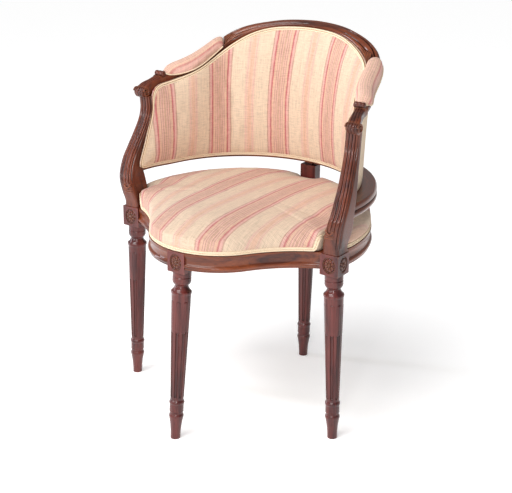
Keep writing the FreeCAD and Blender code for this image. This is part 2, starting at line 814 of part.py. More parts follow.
# Arm pads
def pad_corners(grow, below=0):
    # Sections of a pad. Its sides lean in by PAD_TUCK at the foot, and go on below it by the second value.
    def corners(angle):
        share = (angle - PAD_START) / (PAD_END - PAD_START)
        ends = math.sqrt(max(0, 1 - abs(2 * share - 1) ** 8))
        low = wood_line(angle) + ARM_LIFT + SOFT_GAP
        half = PAD_HALF - 4 * (1 - ends) + grow
        inner = upper_middle(angle) - half
        outer = upper_middle(angle) + half
        rise = PAD_RISE * (0.45 + 0.55 * ends)
        side = 0.42 * rise
        tuck = PAD_TUCK * (side + below) / side
        return [
            (inner + tuck, low - below, 0),
            (outer - tuck, low - below, 0),
            (outer, low + side, rise - side + grow),
            (inner, low + side, 0),
        ]
    return corners


PAD_ANGLES = spread(PAD_START, PAD_END, 12)


def arm_pad():
    whole = radial_loft(PAD_ANGLES, pad_corners(0))
    inside_angles = spread(PAD_START + 0.4, PAD_END - 0.4, 12)
    stuffing = radial_loft(inside_angles, pad_corners(-COVER_THICK - SOFT_GAP))
    hollow = radial_loft(inside_angles, pad_corners(-COVER_THICK, PAD_HOLLOW_BELOW))
    return stuffing, whole.cut(hollow)


def arm_welt():
    # A cord round the foot of the pad, along both sides and across the front end.
    def place(angle, offset):
        low = wood_line(angle) + ARM_LIFT
        return polar(upper_middle(angle) + offset, angle, low + PAD_WELT_RADIUS + SOFT_GAP)

    reach = PAD_HALF + 2 * SOFT_GAP
    angles = PAD_ANGLES[1:]
    inner = [place(angle, -reach) for angle in reversed(angles)]
    front = PAD_START - 0.7
    across = [place(front + 0.5, -0.8 * reach), place(front, 0), place(front + 0.5, 0.8 * reach)]
    outer = [place(angle, reach) for angle in angles]
    return cord(inner + across + outer, PAD_WELT_RADIUS)


# The assembly
nodes = {}

side_mortises = [SIDE_FRONT_TENON, SIDE_BACK_TENON] + SUPPORT_DOWELS
right_leg = leg(SIDE_LEG_X, SIDE_LEG_Y, SIDE_LEG_LEAN, -3, (0, 90), side_mortises)
nodes["right_leg"] = right_leg
nodes["left_leg"] = mirrored(right_leg)
nodes["front_leg"] = leg(0, FRONT_LEG_Y, 0, -FRONT_LEG_LEAN, (0,), [FRONT_TENON, mirrored(FRONT_TENON)])
back_mortises = [BACK_TENON, mirrored(BACK_TENON), POST_TENONS[0]]
nodes["back_leg"] = leg(0, BACK_LEG_Y, 0, BACK_LEG_LEAN, (180,), back_mortises)

screws = corner_screws()
front_right = front_rail()
back_right = rear_rail()
nodes["front_right_rail"] = front_right.cut(screws)
nodes["front_left_rail"] = mirrored(nodes["front_right_rail"])
nodes["back_right_rail"] = back_right.cut(screws)
nodes["back_left_rail"] = mirrored(nodes["back_right_rail"])
seat_frame = [shape for name, shape in nodes.items() if "leg" in name or "rail" in name]
support_dowels = SUPPORT_DOWELS + [mirrored(dowel) for dowel in SUPPORT_DOWELS]
braces = corner_blocks(seat_frame + support_dowels)
nodes["corner_blocks"] = Part.makeCompound([brace.cut(screws) for brace in braces])
nodes["corner_block_screws"] = Part.makeCompound(screws)

support = arm_support()
rail_half = lower_rail(support)
right_arm = arm()
support_top = support.cut(SUPPORT_DOWELS + [right_arm, ARM_DOWEL, LOWER_TENON])
nodes["right_arm_support"] = max(support_top.Solids, key=lambda solid: solid.Volume)
nodes["left_arm_support"] = mirrored(nodes["right_arm_support"])
nodes["lower_rail_right"] = rail_half.cut(LOWER_DOWELS + [POST_TENONS[1]])
nodes["lower_rail_left"] = mirrored(nodes["lower_rail_right"])
nodes["back_post"] = back_post()
nodes["right_arm"] = right_arm.cut([ARM_DOWEL, CREST_DOWEL])
nodes["left_arm"] = mirrored(nodes["right_arm"])
nodes["crest_rail"] = crest_rail().cut([CREST_DOWEL, mirrored(CREST_DOWEL)])
nodes["support_dowels"] = Part.makeCompound(support_dowels)
nodes["arm_dowels"] = Part.makeCompound([ARM_DOWEL, mirrored(ARM_DOWEL)])
nodes["crest_dowels"] = Part.makeCompound([CREST_DOWEL, mirrored(CREST_DOWEL)])
nodes["lower_rail_dowels"] = Part.makeCompound(LOWER_DOWELS)

nodes["seat_webbing"] = Part.makeCompound(seat_webbing())
nodes["seat_hessian"] = seat_slab(13, HESSIAN_LOW, HESSIAN_HIGH)
nodes["seat_stuffing"] = seat_form(COVER_THICK + SOFT_GAP, HESSIAN_HIGH + SOFT_GAP)
nodes["seat_cover"] = seat_form(0, SEAT_SIDE[0][0]).cut(seat_form(COVER_THICK, SEAT_SIDE[0][0]))
nodes["seat_welt"] = seat_welt()

inside_edge = [in_front_of(lambda y, depth: y), past_front_corners()]
arms = [nodes["right_arm"], nodes["left_arm"]]
outside_edge = [in_front_of(lambda y, depth: y + depth / 2 + 3 * SOFT_GAP)] + arms
nodes["back_webbing"] = Part.makeCompound(back_straps())
nodes["back_hessian"] = radial_loft(BACK_ANGLES, back_layer(2.1, 2.7, 0)).cut(inside_edge)
nodes["back_stuffing"] = radial_loft(BACK_ANGLES, back_layer(3, 3.7, 1, 1)).cut(inside_edge)
nodes["inside_back_cover"] = radial_loft(BACK_ANGLES, back_cover_corners).cut(inside_edge)
nodes["outside_back_cover"] = radial_loft(BACK_ANGLES, outside_corners).cut(outside_edge)
nodes["inside_back_welt"] = Part.makeCompound(back_welt())

stuffing, cover = arm_pad()
welt = arm_welt()
for side, turn in (("right", lambda shape: shape), ("left", mirrored)):
    nodes[side + "_arm_stuffing"] = turn(stuffing)
    nodes[side + "_arm_cover"] = turn(cover)
    nodes[side + "_arm_welt"] = turn(welt)

os.makedirs("parts", exist_ok=True)
for name, shape in nodes.items():
    shape.exportStep("parts/" + name + ".step")
    print(name, "valid" if shape.isValid() else "NOT VALID", len(shape.Solids), round(shape.Volume))
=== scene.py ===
import math
import bmesh
import bpy
import numpy as np
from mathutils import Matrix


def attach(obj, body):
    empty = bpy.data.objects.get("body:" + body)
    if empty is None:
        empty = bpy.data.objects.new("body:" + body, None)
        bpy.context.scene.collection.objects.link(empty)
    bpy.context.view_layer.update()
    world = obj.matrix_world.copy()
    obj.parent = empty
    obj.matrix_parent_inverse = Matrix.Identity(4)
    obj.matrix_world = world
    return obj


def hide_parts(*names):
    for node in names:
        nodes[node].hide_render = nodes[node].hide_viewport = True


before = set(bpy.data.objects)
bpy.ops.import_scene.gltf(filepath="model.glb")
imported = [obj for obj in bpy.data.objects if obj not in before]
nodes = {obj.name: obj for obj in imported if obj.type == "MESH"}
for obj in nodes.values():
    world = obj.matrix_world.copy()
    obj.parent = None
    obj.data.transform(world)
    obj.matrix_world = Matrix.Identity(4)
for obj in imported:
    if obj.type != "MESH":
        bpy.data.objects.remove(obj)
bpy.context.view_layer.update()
print("frame loaded:", len(nodes), "CAD nodes")

mm = 0.001  # shapes below are worked out in millimetres
cordWidth = 2.3  # cloth of every cord is mapped as if it were this thick
backCentreY = -11
bothSides = ("right", "left")


# small maths shared by the pieces

def ease(t):
    t = np.clip(t, 0, 1)
    return t * t * (3 - 2 * t)


def hump(at, size, middle, width):
    return size * np.exp(-((at - middle) / width) ** 2)


def through(knots, values, at):  # smooth curve through knots, used for profiles
    knots = np.asarray(knots, float)
    values = np.asarray(values, float)
    at = np.clip(np.asarray(at, float), knots[0], knots[-1])
    slopes = np.gradient(values, knots)
    k = np.clip(np.searchsorted(knots, at, side="right") - 1, 0, len(knots) - 2)
    h = knots[k + 1] - knots[k]
    t = (at - knots[k]) / h
    a = (2 * t ** 3 - 3 * t ** 2 + 1) * values[k] + (t ** 3 - 2 * t ** 2 + t) * h * slopes[k]
    b = (3 * t ** 2 - 2 * t ** 3) * values[k + 1] + (t ** 3 - t ** 2) * h * slopes[k + 1]
    return a + b


def unit(v):
    return v / np.maximum(np.linalg.norm(v, axis=-1, keepdims=True), 1e-9)


def fullTurn(count):
    return np.linspace(0, 2 * np.pi, count, endpoint=False)


def lengthAlong(points):
    return np.r_[0, np.cumsum(np.linalg.norm(np.diff(points, axis=0), axis=1))]


def evenly(points, count):  # the same line with its points evenly spaced
    run = lengthAlong(points)
    at = np.linspace(0, run[-1], count)
    return np.stack([np.interp(at, run, points[:, i]) for i in range(points.shape[1])], -1)


def resample(points, step, closed=True):
    points = np.asarray(points, float)
    if closed:
        points = np.concatenate([points, points[:1]])
    spaced = evenly(points, max(4, int(round(lengthAlong(points)[-1] / step))) + 1)
    return spaced[:-1] if closed else spaced


def soften(loop, passes):  # rounds the corners of a closed loop
    for _ in range(passes):
        loop = (np.roll(loop, 1, 0) + 2 * loop + np.roll(loop, -1, 0)) / 4
    return loop


def softened(values, passes):
    return soften(values[:, None], passes)[:, 0]


def outward(loop):
    along = np.roll(loop, -1, 0) - np.roll(loop, 1, 0)
    return unit(np.stack([along[:, 1], -along[:, 0]], -1))


def reachToLoop(points, loop):  # distance from points to a closed outline
    d = np.roll(loop, -1, 0) - loop
    lengths = np.maximum((d ** 2).sum(1), 1e-9)
    out = np.empty(len(points))
    batch = 2000  # keeps the memory small
    for first in range(0, len(points), batch):
        p = points[first:first + batch, None, :]
        t = np.clip(((p - loop) * d).sum(2) / lengths, 0, 1)
        out[first:first + batch] = np.sqrt(((p - loop - t[..., None] * d) ** 2).sum(2).min(1))
    return out


# lines that the whole back follows, in polar form: 90 degrees is the middle of the back

backLine = {"low": 690, "rise": 113, "turnsAt": 45.7, "softness": 9.8,
            "radius": 269.5, "bulge": (9.5, 43, 10), "waist": (19.5, 66, 14), "half": 15,
            "foot": 494, "footRadius": 241, "flare": 22, "flareFrom": 76, "flareOver": 26}


def swingOf(angle):  # degrees away from the middle
    return np.abs(np.asarray(angle, float) - 90)


def woodLine(angle):  # height of the edge between show wood and inside back
    return backLine["low"] + backLine["rise"] / (
        1 + np.exp((swingOf(angle) - backLine["turnsAt"]) / backLine["softness"]))


def upperMiddle(angle):  # plan radius of the arms and crest
    swing = swingOf(angle)
    return backLine["radius"] + hump(swing, *backLine["bulge"]) - hump(swing, *backLine["waist"])


def frameInner(angle, z):  # inner face of the back frame, which opens out to the arm supports at its foot
    opening = ease((swingOf(angle) - backLine["flareFrom"]) / backLine["flareOver"])
    low = backLine["footRadius"] + backLine["flare"] * opening
    share = (z - backLine["foot"]) / (woodLine(angle) - backLine["foot"])
    return low + (upperMiddle(angle) - backLine["half"] - low) * share


def polar(radius, angle, z):
    turn = np.radians(angle)
    x, y, z = np.broadcast_arrays(radius * np.cos(turn), backCentreY + radius * np.sin(turn), z)
    return np.stack([x, y, z], -1)


# mesh tools

def ringPairs(count):  # each index with the next one round a ring
    return [(j, (j + 1) % count) for j in range(count)]


def gridFaces(rows, cols, around=False):
    pairs = ringPairs(cols) if around else ringPairs(cols)[:-1]
    starts = range(0, (rows - 1) * cols, cols)
    return [(low + j, low + k, low + cols + k, low + cols + j) for low in starts for j, k in pairs]


def gridRim(rows, cols):  # indices round the edge of a grid
    top = (rows - 1) * cols
    return np.concatenate([np.arange(cols), np.arange(1, rows) * cols + cols - 1,
                           top + np.arange(cols - 2, -1, -1), np.arange(rows - 2, 0, -1) * cols])


def skin(rings, capped=True):  # closed rings joined into a tube, ends closed by fans
    rings = np.asarray(rings, float)
    rows, cols, _ = rings.shape
    verts = rings.reshape(-1, 3)
    faces = gridFaces(rows, cols, True)
    if capped:
        verts = np.concatenate([verts, [rings[0].mean(0), rings[-1].mean(0)]])
        top = (rows - 1) * cols
        for j, k in ringPairs(cols):
            faces += [(rows * cols, k, j), (rows * cols + 1, top + j, top + k)]
    return verts, faces, None


def heading(path, closed):
    return unit(np.roll(path, -1, 0) - np.roll(path, 1, 0) if closed else np.gradient(path, axis=0))


def tube(path, normals, radius, closed=True, corners=12):
    path = np.asarray(path, float)
    ahead = heading(path, closed)
    normals = unit(normals - (normals * ahead).sum(-1, keepdims=True) * ahead)
    across = np.cross(ahead, normals)
    turn = fullTurn(corners)
    rings = path[:, None] + radius * (np.cos(turn)[None, :, None] * normals[:, None]
                                      + np.sin(turn)[None, :, None] * across[:, None])
    if closed:
        rings = np.concatenate([rings, rings[:1]])
    verts, faces, _ = skin(rings, not closed)
    run = lengthAlong(rings[:, 0])
    uv = np.stack([np.tile(turn * cordWidth, len(rings)), np.repeat(run, corners)], -1)
    if not closed:
        uv = np.concatenate([uv, [uv[0], uv[-1]]])
    return verts, faces, uv


def doubleCord(path, normals, radius):  # two cords side by side, as a welt is sewn
    across = unit(np.cross(heading(path, True), normals))
    return [tube(path + across * radius * 0.94 * way, normals, radius) for way in (-1, 1)]


def flipX(part):
    verts, faces, uv = part
    return np.asarray(verts) * (-1, 1, 1), [tuple(reversed(face)) for face in faces], uv


def onSide(parts, side):  # pieces are drawn for the right and mirrored for the left
    return parts if side == "right" else [flipX(part) for part in parts]


def addObject(name, data):
    made = bpy.data.objects.new(name, data)
    bpy.context.scene.collection.objects.link(made)
    return made


def piece(name, parts, material, stands=(), sharp=180):
    verts, faces, uvs, offset = [], [], [], 0
    for partVerts, partFaces, partUv in parts:
        verts.append(np.asarray(partVerts, float))
        faces.extend(tuple(i + offset for i in face) for face in partFaces)
        uvs.append(np.zeros((len(partVerts), 2)) if partUv is None else np.asarray(partUv, float))
        offset += len(partVerts)
    mesh = bpy.data.meshes.new(name)
    mesh.from_pydata((np.concatenate(verts) * mm).tolist(), [], faces)
    layer = mesh.uv_layers.new(name="cloth")
    corners = np.empty(len(mesh.loops), int)
    mesh.loops.foreach_get("vertex_index", corners)
    layer.data.foreach_set("uv", (np.concatenate(uvs)[corners] * mm).ravel())
    work = bmesh.new()
    work.from_mesh(mesh)
    bmesh.ops.remove_doubles(work, verts=work.verts, dist=1e-6)
    bmesh.ops.recalc_face_normals(work, faces=work.faces)
    work.to_mesh(mesh)
    work.free()
    mesh.polygons.foreach_set("use_smooth", [True] * len(mesh.polygons))
    mesh.set_sharp_from_angle(angle=math.radians(sharp))
    mesh.materials.append(material)
    made = addObject(name, mesh)
    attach(made, "root")
    if stands:
        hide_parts(*stands)
    return made


plumping = {"pressure": 4, "frames": 20}


def points(mesh):
    flat = np.empty(len(mesh.vertices) * 3)
    mesh.vertices.foreach_get("co", flat)
    return flat.reshape(-1, 3)


def plump(pad, heldAt, cap):  # cloth simulation swells the pad between its held edges
    before = points(pad.data)
    held = pad.vertex_groups.new(name="held")
    held.add(np.flatnonzero(heldAt(before / mm)).tolist(), 1.0, "REPLACE")
    cloth = pad.modifiers.new("cloth", "CLOTH")
    cloth.settings.vertex_group_mass = "held"
    cloth.settings.use_pressure = True
    cloth.settings.uniform_pressure_force = plumping["pressure"]
    cloth.settings.effector_weights.gravity = 0
    cloth.collision_settings.use_collision = False
    cloth.point_cache.frame_end = plumping["frames"]
    for step in range(1, plumping["frames"] + 1):
        bpy.context.scene.frame_set(step)
    move = points(pad.evaluated_get(bpy.context.evaluated_depsgraph_get()).data) - before
    pad.modifiers.remove(cloth)
    pad.vertex_groups.remove(held)
    bpy.context.scene.frame_set(1)
    reach = np.linalg.norm(move, axis=1, keepdims=True) / mm
    move *= cap * np.tanh(reach / cap) / np.maximum(reach, 1e-6)
    pad.data.vertices.foreach_set("co", (before + move).ravel())
    pad.data.update()
    print(pad.name, "swelled, before the cap, by", round(float(reach.mean()), 2), "mm on average")


# shader tools

def linear(r, g, b):  # screen colour, 0 to 255, to scene colour
    out = []
    for c in (r, g, b):
        c /= 255
        out.append(c / 12.92 if c <= 0.04045 else ((c + 0.055) / 1.055) ** 2.4)
    return (*out, 1)


def feed(tree, socket, value):  # a link or a plain value
    if isinstance(value, bpy.types.NodeSocket):
        tree.links.new(value, socket)
    elif value is not None:
        socket.default_value = value


def put(tree, kind, **values):
    made = tree.nodes.new(kind)
    for key, value in values.items():
        if hasattr(made, key):
            setattr(made, key, value)
        else:
            feed(tree, made.inputs[key], value)
    return made


def maths(tree, operation, a, b=None):
    made = put(tree, "ShaderNodeMath", operation=operation)
    for socket, value in zip(made.inputs, (a, b)):
        feed(tree, socket, value)
    return made.outputs[0]


def blendColour(tree, factor, a, b, mode="MIX"):
    made = put(tree, "ShaderNodeMix", data_type="RGBA", blend_type=mode)
    for index, value in ((0, factor), (6, a), (7, b)):
        feed(tree, made.inputs[index], value)
    return made.outputs[2]


def ramp(tree, factor, stops):
    made = tree.nodes.new("ShaderNodeValToRGB")
    bar = made.color_ramp
    while len(bar.elements) < len(stops):
        bar.elements.new(0.5)
    for element, (place, colour) in zip(bar.elements, stops):
        element.position = place
        element.color = colour if isinstance(colour, tuple) else (colour, colour, colour, 1)
    tree.links.new(factor, made.inputs[0])
    return made.outputs[0]


def stretch(tree, vector, scale):
    made = put(tree, "ShaderNodeVectorMath", operation="MULTIPLY")
    feed(tree, made.inputs[0], vector)
    made.inputs[1].default_value = scale
    return made.outputs[0]


def noise(tree, vector, **values):
    return put(tree, "ShaderNodeTexNoise", Vector=vector, **values).outputs[0]


def split(tree, vector):
    made = put(tree, "ShaderNodeSeparateXYZ")
    feed(tree, made.inputs[0], vector)
    return made.outputs


def newGroup(name, inputs, outputs):
    tree = bpy.data.node_groups.new(name, "ShaderNodeTree")
    for label, kind, value in inputs:
        socket = tree.interface.new_socket(label, in_out="INPUT", socket_type="NodeSocket" + kind)
        if value is not None:
            socket.default_value = value
    for label, kind in outputs:
        tree.interface.new_socket(label, in_out="OUTPUT", socket_type="NodeSocket" + kind)
    return tree, tree.nodes.new("NodeGroupInput").outputs, tree.nodes.new("NodeGroupOutput").inputs


def use(tree, group, **values):
    made = put(tree, "ShaderNodeGroup", node_tree=group)
    for key, value in values.items():
        feed(tree, made.inputs[key], value)
    return made.outputs


def newMaterial(name, plain):  # plain holds the sockets that are the same all over
    made = bpy.data.materials.new(name)
    made.use_nodes = True
    tree = made.node_tree
    tree.nodes.clear()
    shader = put(tree, "ShaderNodeBsdfPrincipled")
    out = put(tree, "ShaderNodeOutputMaterial")
    tree.links.new(shader.outputs[0], out.inputs[0])
    for key, value in plain.items():
        shader.inputs[key].default_value = value
    return made, tree, shader.inputs


def bumped(tree, height, strength, distance, socket):
    made = put(tree, "ShaderNodeBump", Strength=strength, Distance=distance, Height=height)
    tree.links.new(made.outputs[0], socket)


# wood: long grain, pores, and in the carving a darker glaze together with painted shade

def makeGrainGroup():
    tree, given, out = newGroup(
        "woodGrain",
        [("Vector", "Vector", None), ("Dark", "Color", linear(70, 28, 18)),
         ("Light", "Color", linear(140, 72, 44))],
        [("Color", "Color"), ("Height", "Float"), ("Rough", "Float")])
    place = given["Vector"]
    broad = noise(tree, stretch(tree, place, (38, 38, 5)), Scale=1.0, Detail=5.0, Roughness=0.6,
                  Distortion=0.6)
    fine = noise(tree, stretch(tree, place, (420, 420, 16)), Scale=1.0, Detail=3.0, Roughness=0.65)
    cloud = noise(tree, place, Scale=9.0, Detail=2.0)
    streak = ramp(tree, broad, [(0.32, 0.0), (0.5, 0.55), (0.72, 1.0)])
    pores = ramp(tree, fine, [(0.36, 1.0), (0.47, 0.0)])
    body = blendColour(tree, streak, given["Dark"], given["Light"])
    body = blendColour(tree, maths(tree, "MULTIPLY", cloud, 0.35), body, linear(52, 20, 14))
    body = blendColour(tree, maths(tree, "MULTIPLY", pores, 0.35), body, linear(34, 14, 9))
    feed(tree, out["Color"], body)
    feed(tree, out["Height"], maths(tree, "SUBTRACT", 1.0, pores))
    feed(tree, out["Rough"], maths(tree, "ADD", maths(tree, "MULTIPLY", fine, 0.18), 0.24))
    return tree


def shelter(tree, reach, inside, stops):  # mask from how closed in a point is
    made = put(tree, "ShaderNodeAmbientOcclusion", samples=8, only_local=True, inside=inside, Distance=reach)
    return ramp(tree, made.outputs["AO"], stops)


def makeGlazeShadeGroup():  # glaze and painted shade darken the hollows, wear lightens what stands proud
    tree, given, out = newGroup(
        "carvingGlazeAndShade", [("Color", "Color", None), ("Depth", "Float", 0.8), ("Wear", "Float", 0.2)],
        [("Color", "Color"), ("Mask", "Float")])
    # painted shade: hollows found by ambient occlusion are darkened towards near black, for the shade in the
    # carving as well as its glaze
    hollowShade = shelter(tree, 0.009, False, [(0.35, 1.0), (0.9, 0.0)])
    proud = shelter(tree, 0.004, True, [(0.3, 1.0), (0.75, 0.0)])
    held = maths(tree, "MULTIPLY", hollowShade, given["Depth"])
    dark = blendColour(tree, held, given["Color"], linear(26, 10, 8))
    worn = blendColour(tree, maths(tree, "MULTIPLY", proud, given["Wear"]), dark, linear(176, 104, 66))
    feed(tree, out["Color"], worn)
    feed(tree, out["Mask"], hollowShade)
    return tree


grainGroup = makeGrainGroup()
glazeShadeGroup = makeGlazeShadeGroup()
walnut = {"dark": (52, 15, 11), "light": (130, 62, 33), "glazeAndShade": 0.95, "wear": 0.2, "bendRadius": 0.26,
          "polish": {"Coat Weight": 0.55, "Coat Roughness": 0.07, "Specular IOR Level": 0.2}}


def objectPlace(tree):
    return put(tree, "ShaderNodeTexCoord").outputs["Object"]


def polishedWood(name, lengthwise, tone):  # the grain runs up the piece, or round the back
    made, tree, shader = newMaterial(name, walnut["polish"])
    place = objectPlace(tree)
    if lengthwise == "round":
        x, y, z = split(tree, place)
        y = maths(tree, "ADD", y, -backCentreY * mm)
        angle = maths(tree, "ARCTAN2", x, y)
        squares = maths(tree, "ADD", maths(tree, "MULTIPLY", x, x), maths(tree, "MULTIPLY", y, y))
        whole = put(tree, "ShaderNodeCombineXYZ", X=maths(tree, "SQRT", squares), Y=z,
                    Z=maths(tree, "MULTIPLY", angle, walnut["bendRadius"]))
        place = whole.outputs[0]
    dark, light = (tuple(t * c for t, c in zip(tone, linear(*walnut[key]))) + (1,)
                   for key in ("dark", "light"))
    grain = use(tree, grainGroup, Vector=place, Dark=dark, Light=light)
    # the carving's hollows get glaze and painted shade
    glazeAndShade = use(tree, glazeShadeGroup, Color=grain["Color"], Depth=walnut["glazeAndShade"], Wear=walnut["wear"])
    feed(tree, shader["Base Color"], glazeAndShade["Color"])
    dulled = maths(tree, "MULTIPLY", glazeAndShade["Mask"], 0.25)
    feed(tree, shader["Roughness"], maths(tree, "ADD", grain["Rough"], dulled))
    bumped(tree, grain["Height"], 0.25, 0.0004, shader["Normal"])
    return made


def plainWood(name):  # unpolished braces and dowels
    made, tree, shader = newMaterial(name, {})
    turned = put(tree, "ShaderNodeMapping", Vector=objectPlace(tree), Rotation=(0, math.radians(90), 0))
    grain = use(tree, grainGroup, Vector=turned.outputs[0],
                Dark=linear(150, 112, 74), Light=linear(196, 158, 112))
    feed(tree, shader["Base Color"], grain["Color"])
    feed(tree, shader["Roughness"], maths(tree, "ADD", grain["Rough"], 0.35))
    bumped(tree, grain["Height"], 0.4, 0.0005, shader["Normal"])
    return made


def dullSteel(name):
    made, tree, shader = newMaterial(name, {"Metallic": 1})
    marks = noise(tree, objectPlace(tree), Scale=600.0, Detail=4.0)
    greys = [(0.3, linear(96, 92, 88)), (0.7, linear(150, 148, 146))]
    feed(tree, shader["Base Color"], ramp(tree, marks, greys))
    feed(tree, shader["Roughness"], ramp(tree, marks, [(0.3, 0.6), (0.7, 0.38)]))
    return made


# painted reflection: the legs' tone is lifted in blue for the bluish light from the floor on their shaded
# wood
legWood = polishedWood("legWood", "up", (0.84, 0.74, 1.9))
railWood = polishedWood("railWood", "round", (1.3, 1.36, 1.1))
armWood = polishedWood("armWood", "up", (0.96, 0.9, 0.9))
# painted shade: the rosettes' dark, bluish tone stands in for the shade of the sunk fields they sit in
carvedWood = polishedWood("carvedWood", "up", (0.4, 0.4, 0.6))
frameWood = plainWood("frameWood")
screwSteel = dullSteel("screwSteel")


# cloth: uneven woven threads, and the stripes of the cover

def makeWeaveGroup():
    tree, given, out = newGroup(
        "clothWeave", [("Vector", "Vector", None), ("Threads", "Float", 900.0), ("Slub", "Float", 0.5)],
        [("Height", "Float"), ("Shade", "Float")])
    flat, slub = given["Vector"], given["Slub"]
    u, v, _ = split(tree, flat)
    wander = noise(tree, flat, Scale=140.0, Detail=2.0)
    sway = maths(tree, "MULTIPLY", maths(tree, "SUBTRACT", wander, 0.5), 0.0011)
    yarns = []
    for place, pitch in ((u, 6.283), (v, 6.283 * 0.62)):  # warp, then the coarser weft
        count = maths(tree, "MULTIPLY", maths(tree, "ADD", place, sway), given["Threads"])
        yarns.append(maths(tree, "SINE", maths(tree, "MULTIPLY", count, pitch)))
    warp, weft = yarns
    woven = maths(tree, "MULTIPLY", maths(tree, "MULTIPLY", warp, weft), 0.22)
    lumps = noise(tree, stretch(tree, flat, (60, 430, 1)), Scale=1.0, Detail=3.0, Roughness=0.6)
    drawn = noise(tree, stretch(tree, flat, (560, 26, 1)), Scale=1.0, Detail=2.0)
    thick = maths(tree, "ADD", maths(tree, "MULTIPLY", lumps, slub),
                  maths(tree, "MULTIPLY", drawn, maths(tree, "MULTIPLY", slub, 0.9)))
    height = maths(tree, "ADD", woven, maths(tree, "ADD", maths(tree, "MULTIPLY", weft, 0.16), thick))
    feed(tree, out["Height"], height)
    feed(tree, out["Shade"], height)
    return tree


# places are millimetres from the middle of the band, and from the middle of the plain stripe between bands
stripe = {"repeat": 0.138,
          "colours": {"cream": (242, 218, 190), "warm": (240, 208, 184), "peach": (239, 194, 168),
                      "rose": (238, 184, 174), "crimson": (202, 100, 108), "grey": (192, 146, 128),
                      "tan": (234, 192, 164), "worn": (232, 196, 174)},
          "band": [(0, "tan"), (1.0, "grey"), (2.2, "tan"), (3.6, "rose"), (5.4, "grey"), (6.8, "tan"),
                   (8.8, "rose"), (10.2, "grey"), (11.4, "peach"), (15.4, "tan"), (17.4, "crimson"),
                   (19.0, "crimson"), (20.6, "rose"), (23.6, "rose"), (26.0, "grey"), (27.4, "cream")],
          "between": [(0, "peach"), (3.0, "peach"), (6.2, "warm"), (8.0, "rose"), (9.6, "warm"),
                      (14.0, "cream")]}


def makeStripeGroup():
    tree, given, out = newGroup(
        "coverStripes", [("Across", "Float", 0.0), ("Middle", "Float", 0.0), ("Along", "Vector", None),
                         ("Wear", "Float", 0.2)], [("Color", "Color")])
    wander = noise(tree, stretch(tree, given["Along"], (500, 60, 1)), Scale=1.0, Detail=3.0)
    sway = maths(tree, "MULTIPLY", maths(tree, "SUBTRACT", wander, 0.5), 0.003)
    shifted = maths(tree, "SUBTRACT", maths(tree, "ADD", given["Across"], sway), given["Middle"])
    turn = maths(tree, "FRACT", maths(tree, "ADD", maths(tree, "DIVIDE", shifted, stripe["repeat"]), 0.5))
    colours = {key: linear(*value) for key, value in stripe["colours"].items()}
    width = stripe["repeat"] / mm
    band = [(place / width, colours[name]) for place, name in stripe["band"]]
    between = [(place / width, colours[name]) for place, name in stripe["between"]]
    bands = ramp(tree, turn, [(0.5 - place, colour) for place, colour in reversed(band)]
                 + [(0.5 + place, colour) for place, colour in band[1:]])
    soft = ramp(tree, turn, between + [(1 - place, colour) for place, colour in reversed(between)])
    middle = ramp(tree, turn, [(0.0, 0.0), (0.22, 0.0), (0.26, 1.0), (0.74, 1.0), (0.78, 0.0)])
    faded = noise(tree, stretch(tree, given["Along"], (160, 90, 1)), Scale=1.0, Detail=4.0, Roughness=0.7)
    fade = maths(tree, "ADD", given["Wear"], ramp(tree, faded, [(0.38, 0.0), (0.75, 0.3)]))
    feed(tree, out["Color"], blendColour(tree, fade, blendColour(tree, middle, soft, bands), colours["worn"]))
    return tree


weaveGroup = makeWeaveGroup()
stripeGroup = makeStripeGroup()
clothBump = 0.0008


def newCloth(name, threads, slub, strength, shades, plain):
    made, tree, shader = newMaterial(name, plain)
    flat = put(tree, "ShaderNodeUVMap", uv_map="cloth").outputs[0]
    weave = use(tree, weaveGroup, Vector=flat, Threads=threads, Slub=slub)
    bumped(tree, weave["Height"], strength, clothBump, shader["Normal"])
    return made, tree, shader["Base Color"], flat, ramp(tree, weave["Shade"], shades)


def stripedCloth(name, middle, wear, bright):
    made, tree, colour, flat, shade = newCloth(
        name, 620.0, 0.9, 0.5, [(0.45, 0.58 * bright), (0.8, 0.87 * bright), (1.0, bright)],
        {"Roughness": 0.88, "Sheen Weight": 0.15, "Sheen Roughness": 0.5, "Specular IOR Level": 0.2})
    across = split(tree, flat)[0]
    lines = use(tree, stripeGroup, Across=across, Middle=middle, Along=flat, Wear=wear)
    feed(tree, colour, blendColour(tree, 1.0, lines["Color"], shade, "MULTIPLY"))
    return made


def plainCloth(name, dye, threads, slub, strength=0.5, dark=0.78):
    made, tree, colour, _, shade = newCloth(
        name, threads, slub, strength, [(0.2, dark), (0.9, 1.0)],
        {"Roughness": 0.9, "Sheen Weight": 0.12, "Specular IOR Level": 0.2})
    feed(tree, colour, blendColour(tree, 1.0, linear(*dye), shade, "MULTIPLY"))
    return made


def cordCloth(name, dye):  # cord cloth, with painted shade along both sides of each cord, where it meets the other cord and the cloth
    made, tree, colour, flat, shade = newCloth(
        name, 900.0, 0.6, 0.35, [(0.2, 0.86), (0.9, 1.0)], {"Roughness": 0.9, "Specular IOR Level": 0.2})
    turn = maths(tree, "DIVIDE", split(tree, flat)[0], cordWidth * mm)
    side = maths(tree, "ABSOLUTE", maths(tree, "SINE", turn))
    # painted shade: the cloth turns brown towards the two sides of each cord
    sideShade = ramp(tree, side, [(0.0, 1.0), (0.7, 1.0), (0.92, linear(196, 168, 146)),
                             (1.0, linear(128, 96, 82))])
    unshaded = blendColour(tree, 1.0, linear(*dye), shade, "MULTIPLY")
    feed(tree, colour, blendColour(tree, 1.0, unshaded, sideShade, "MULTIPLY"))
    return made


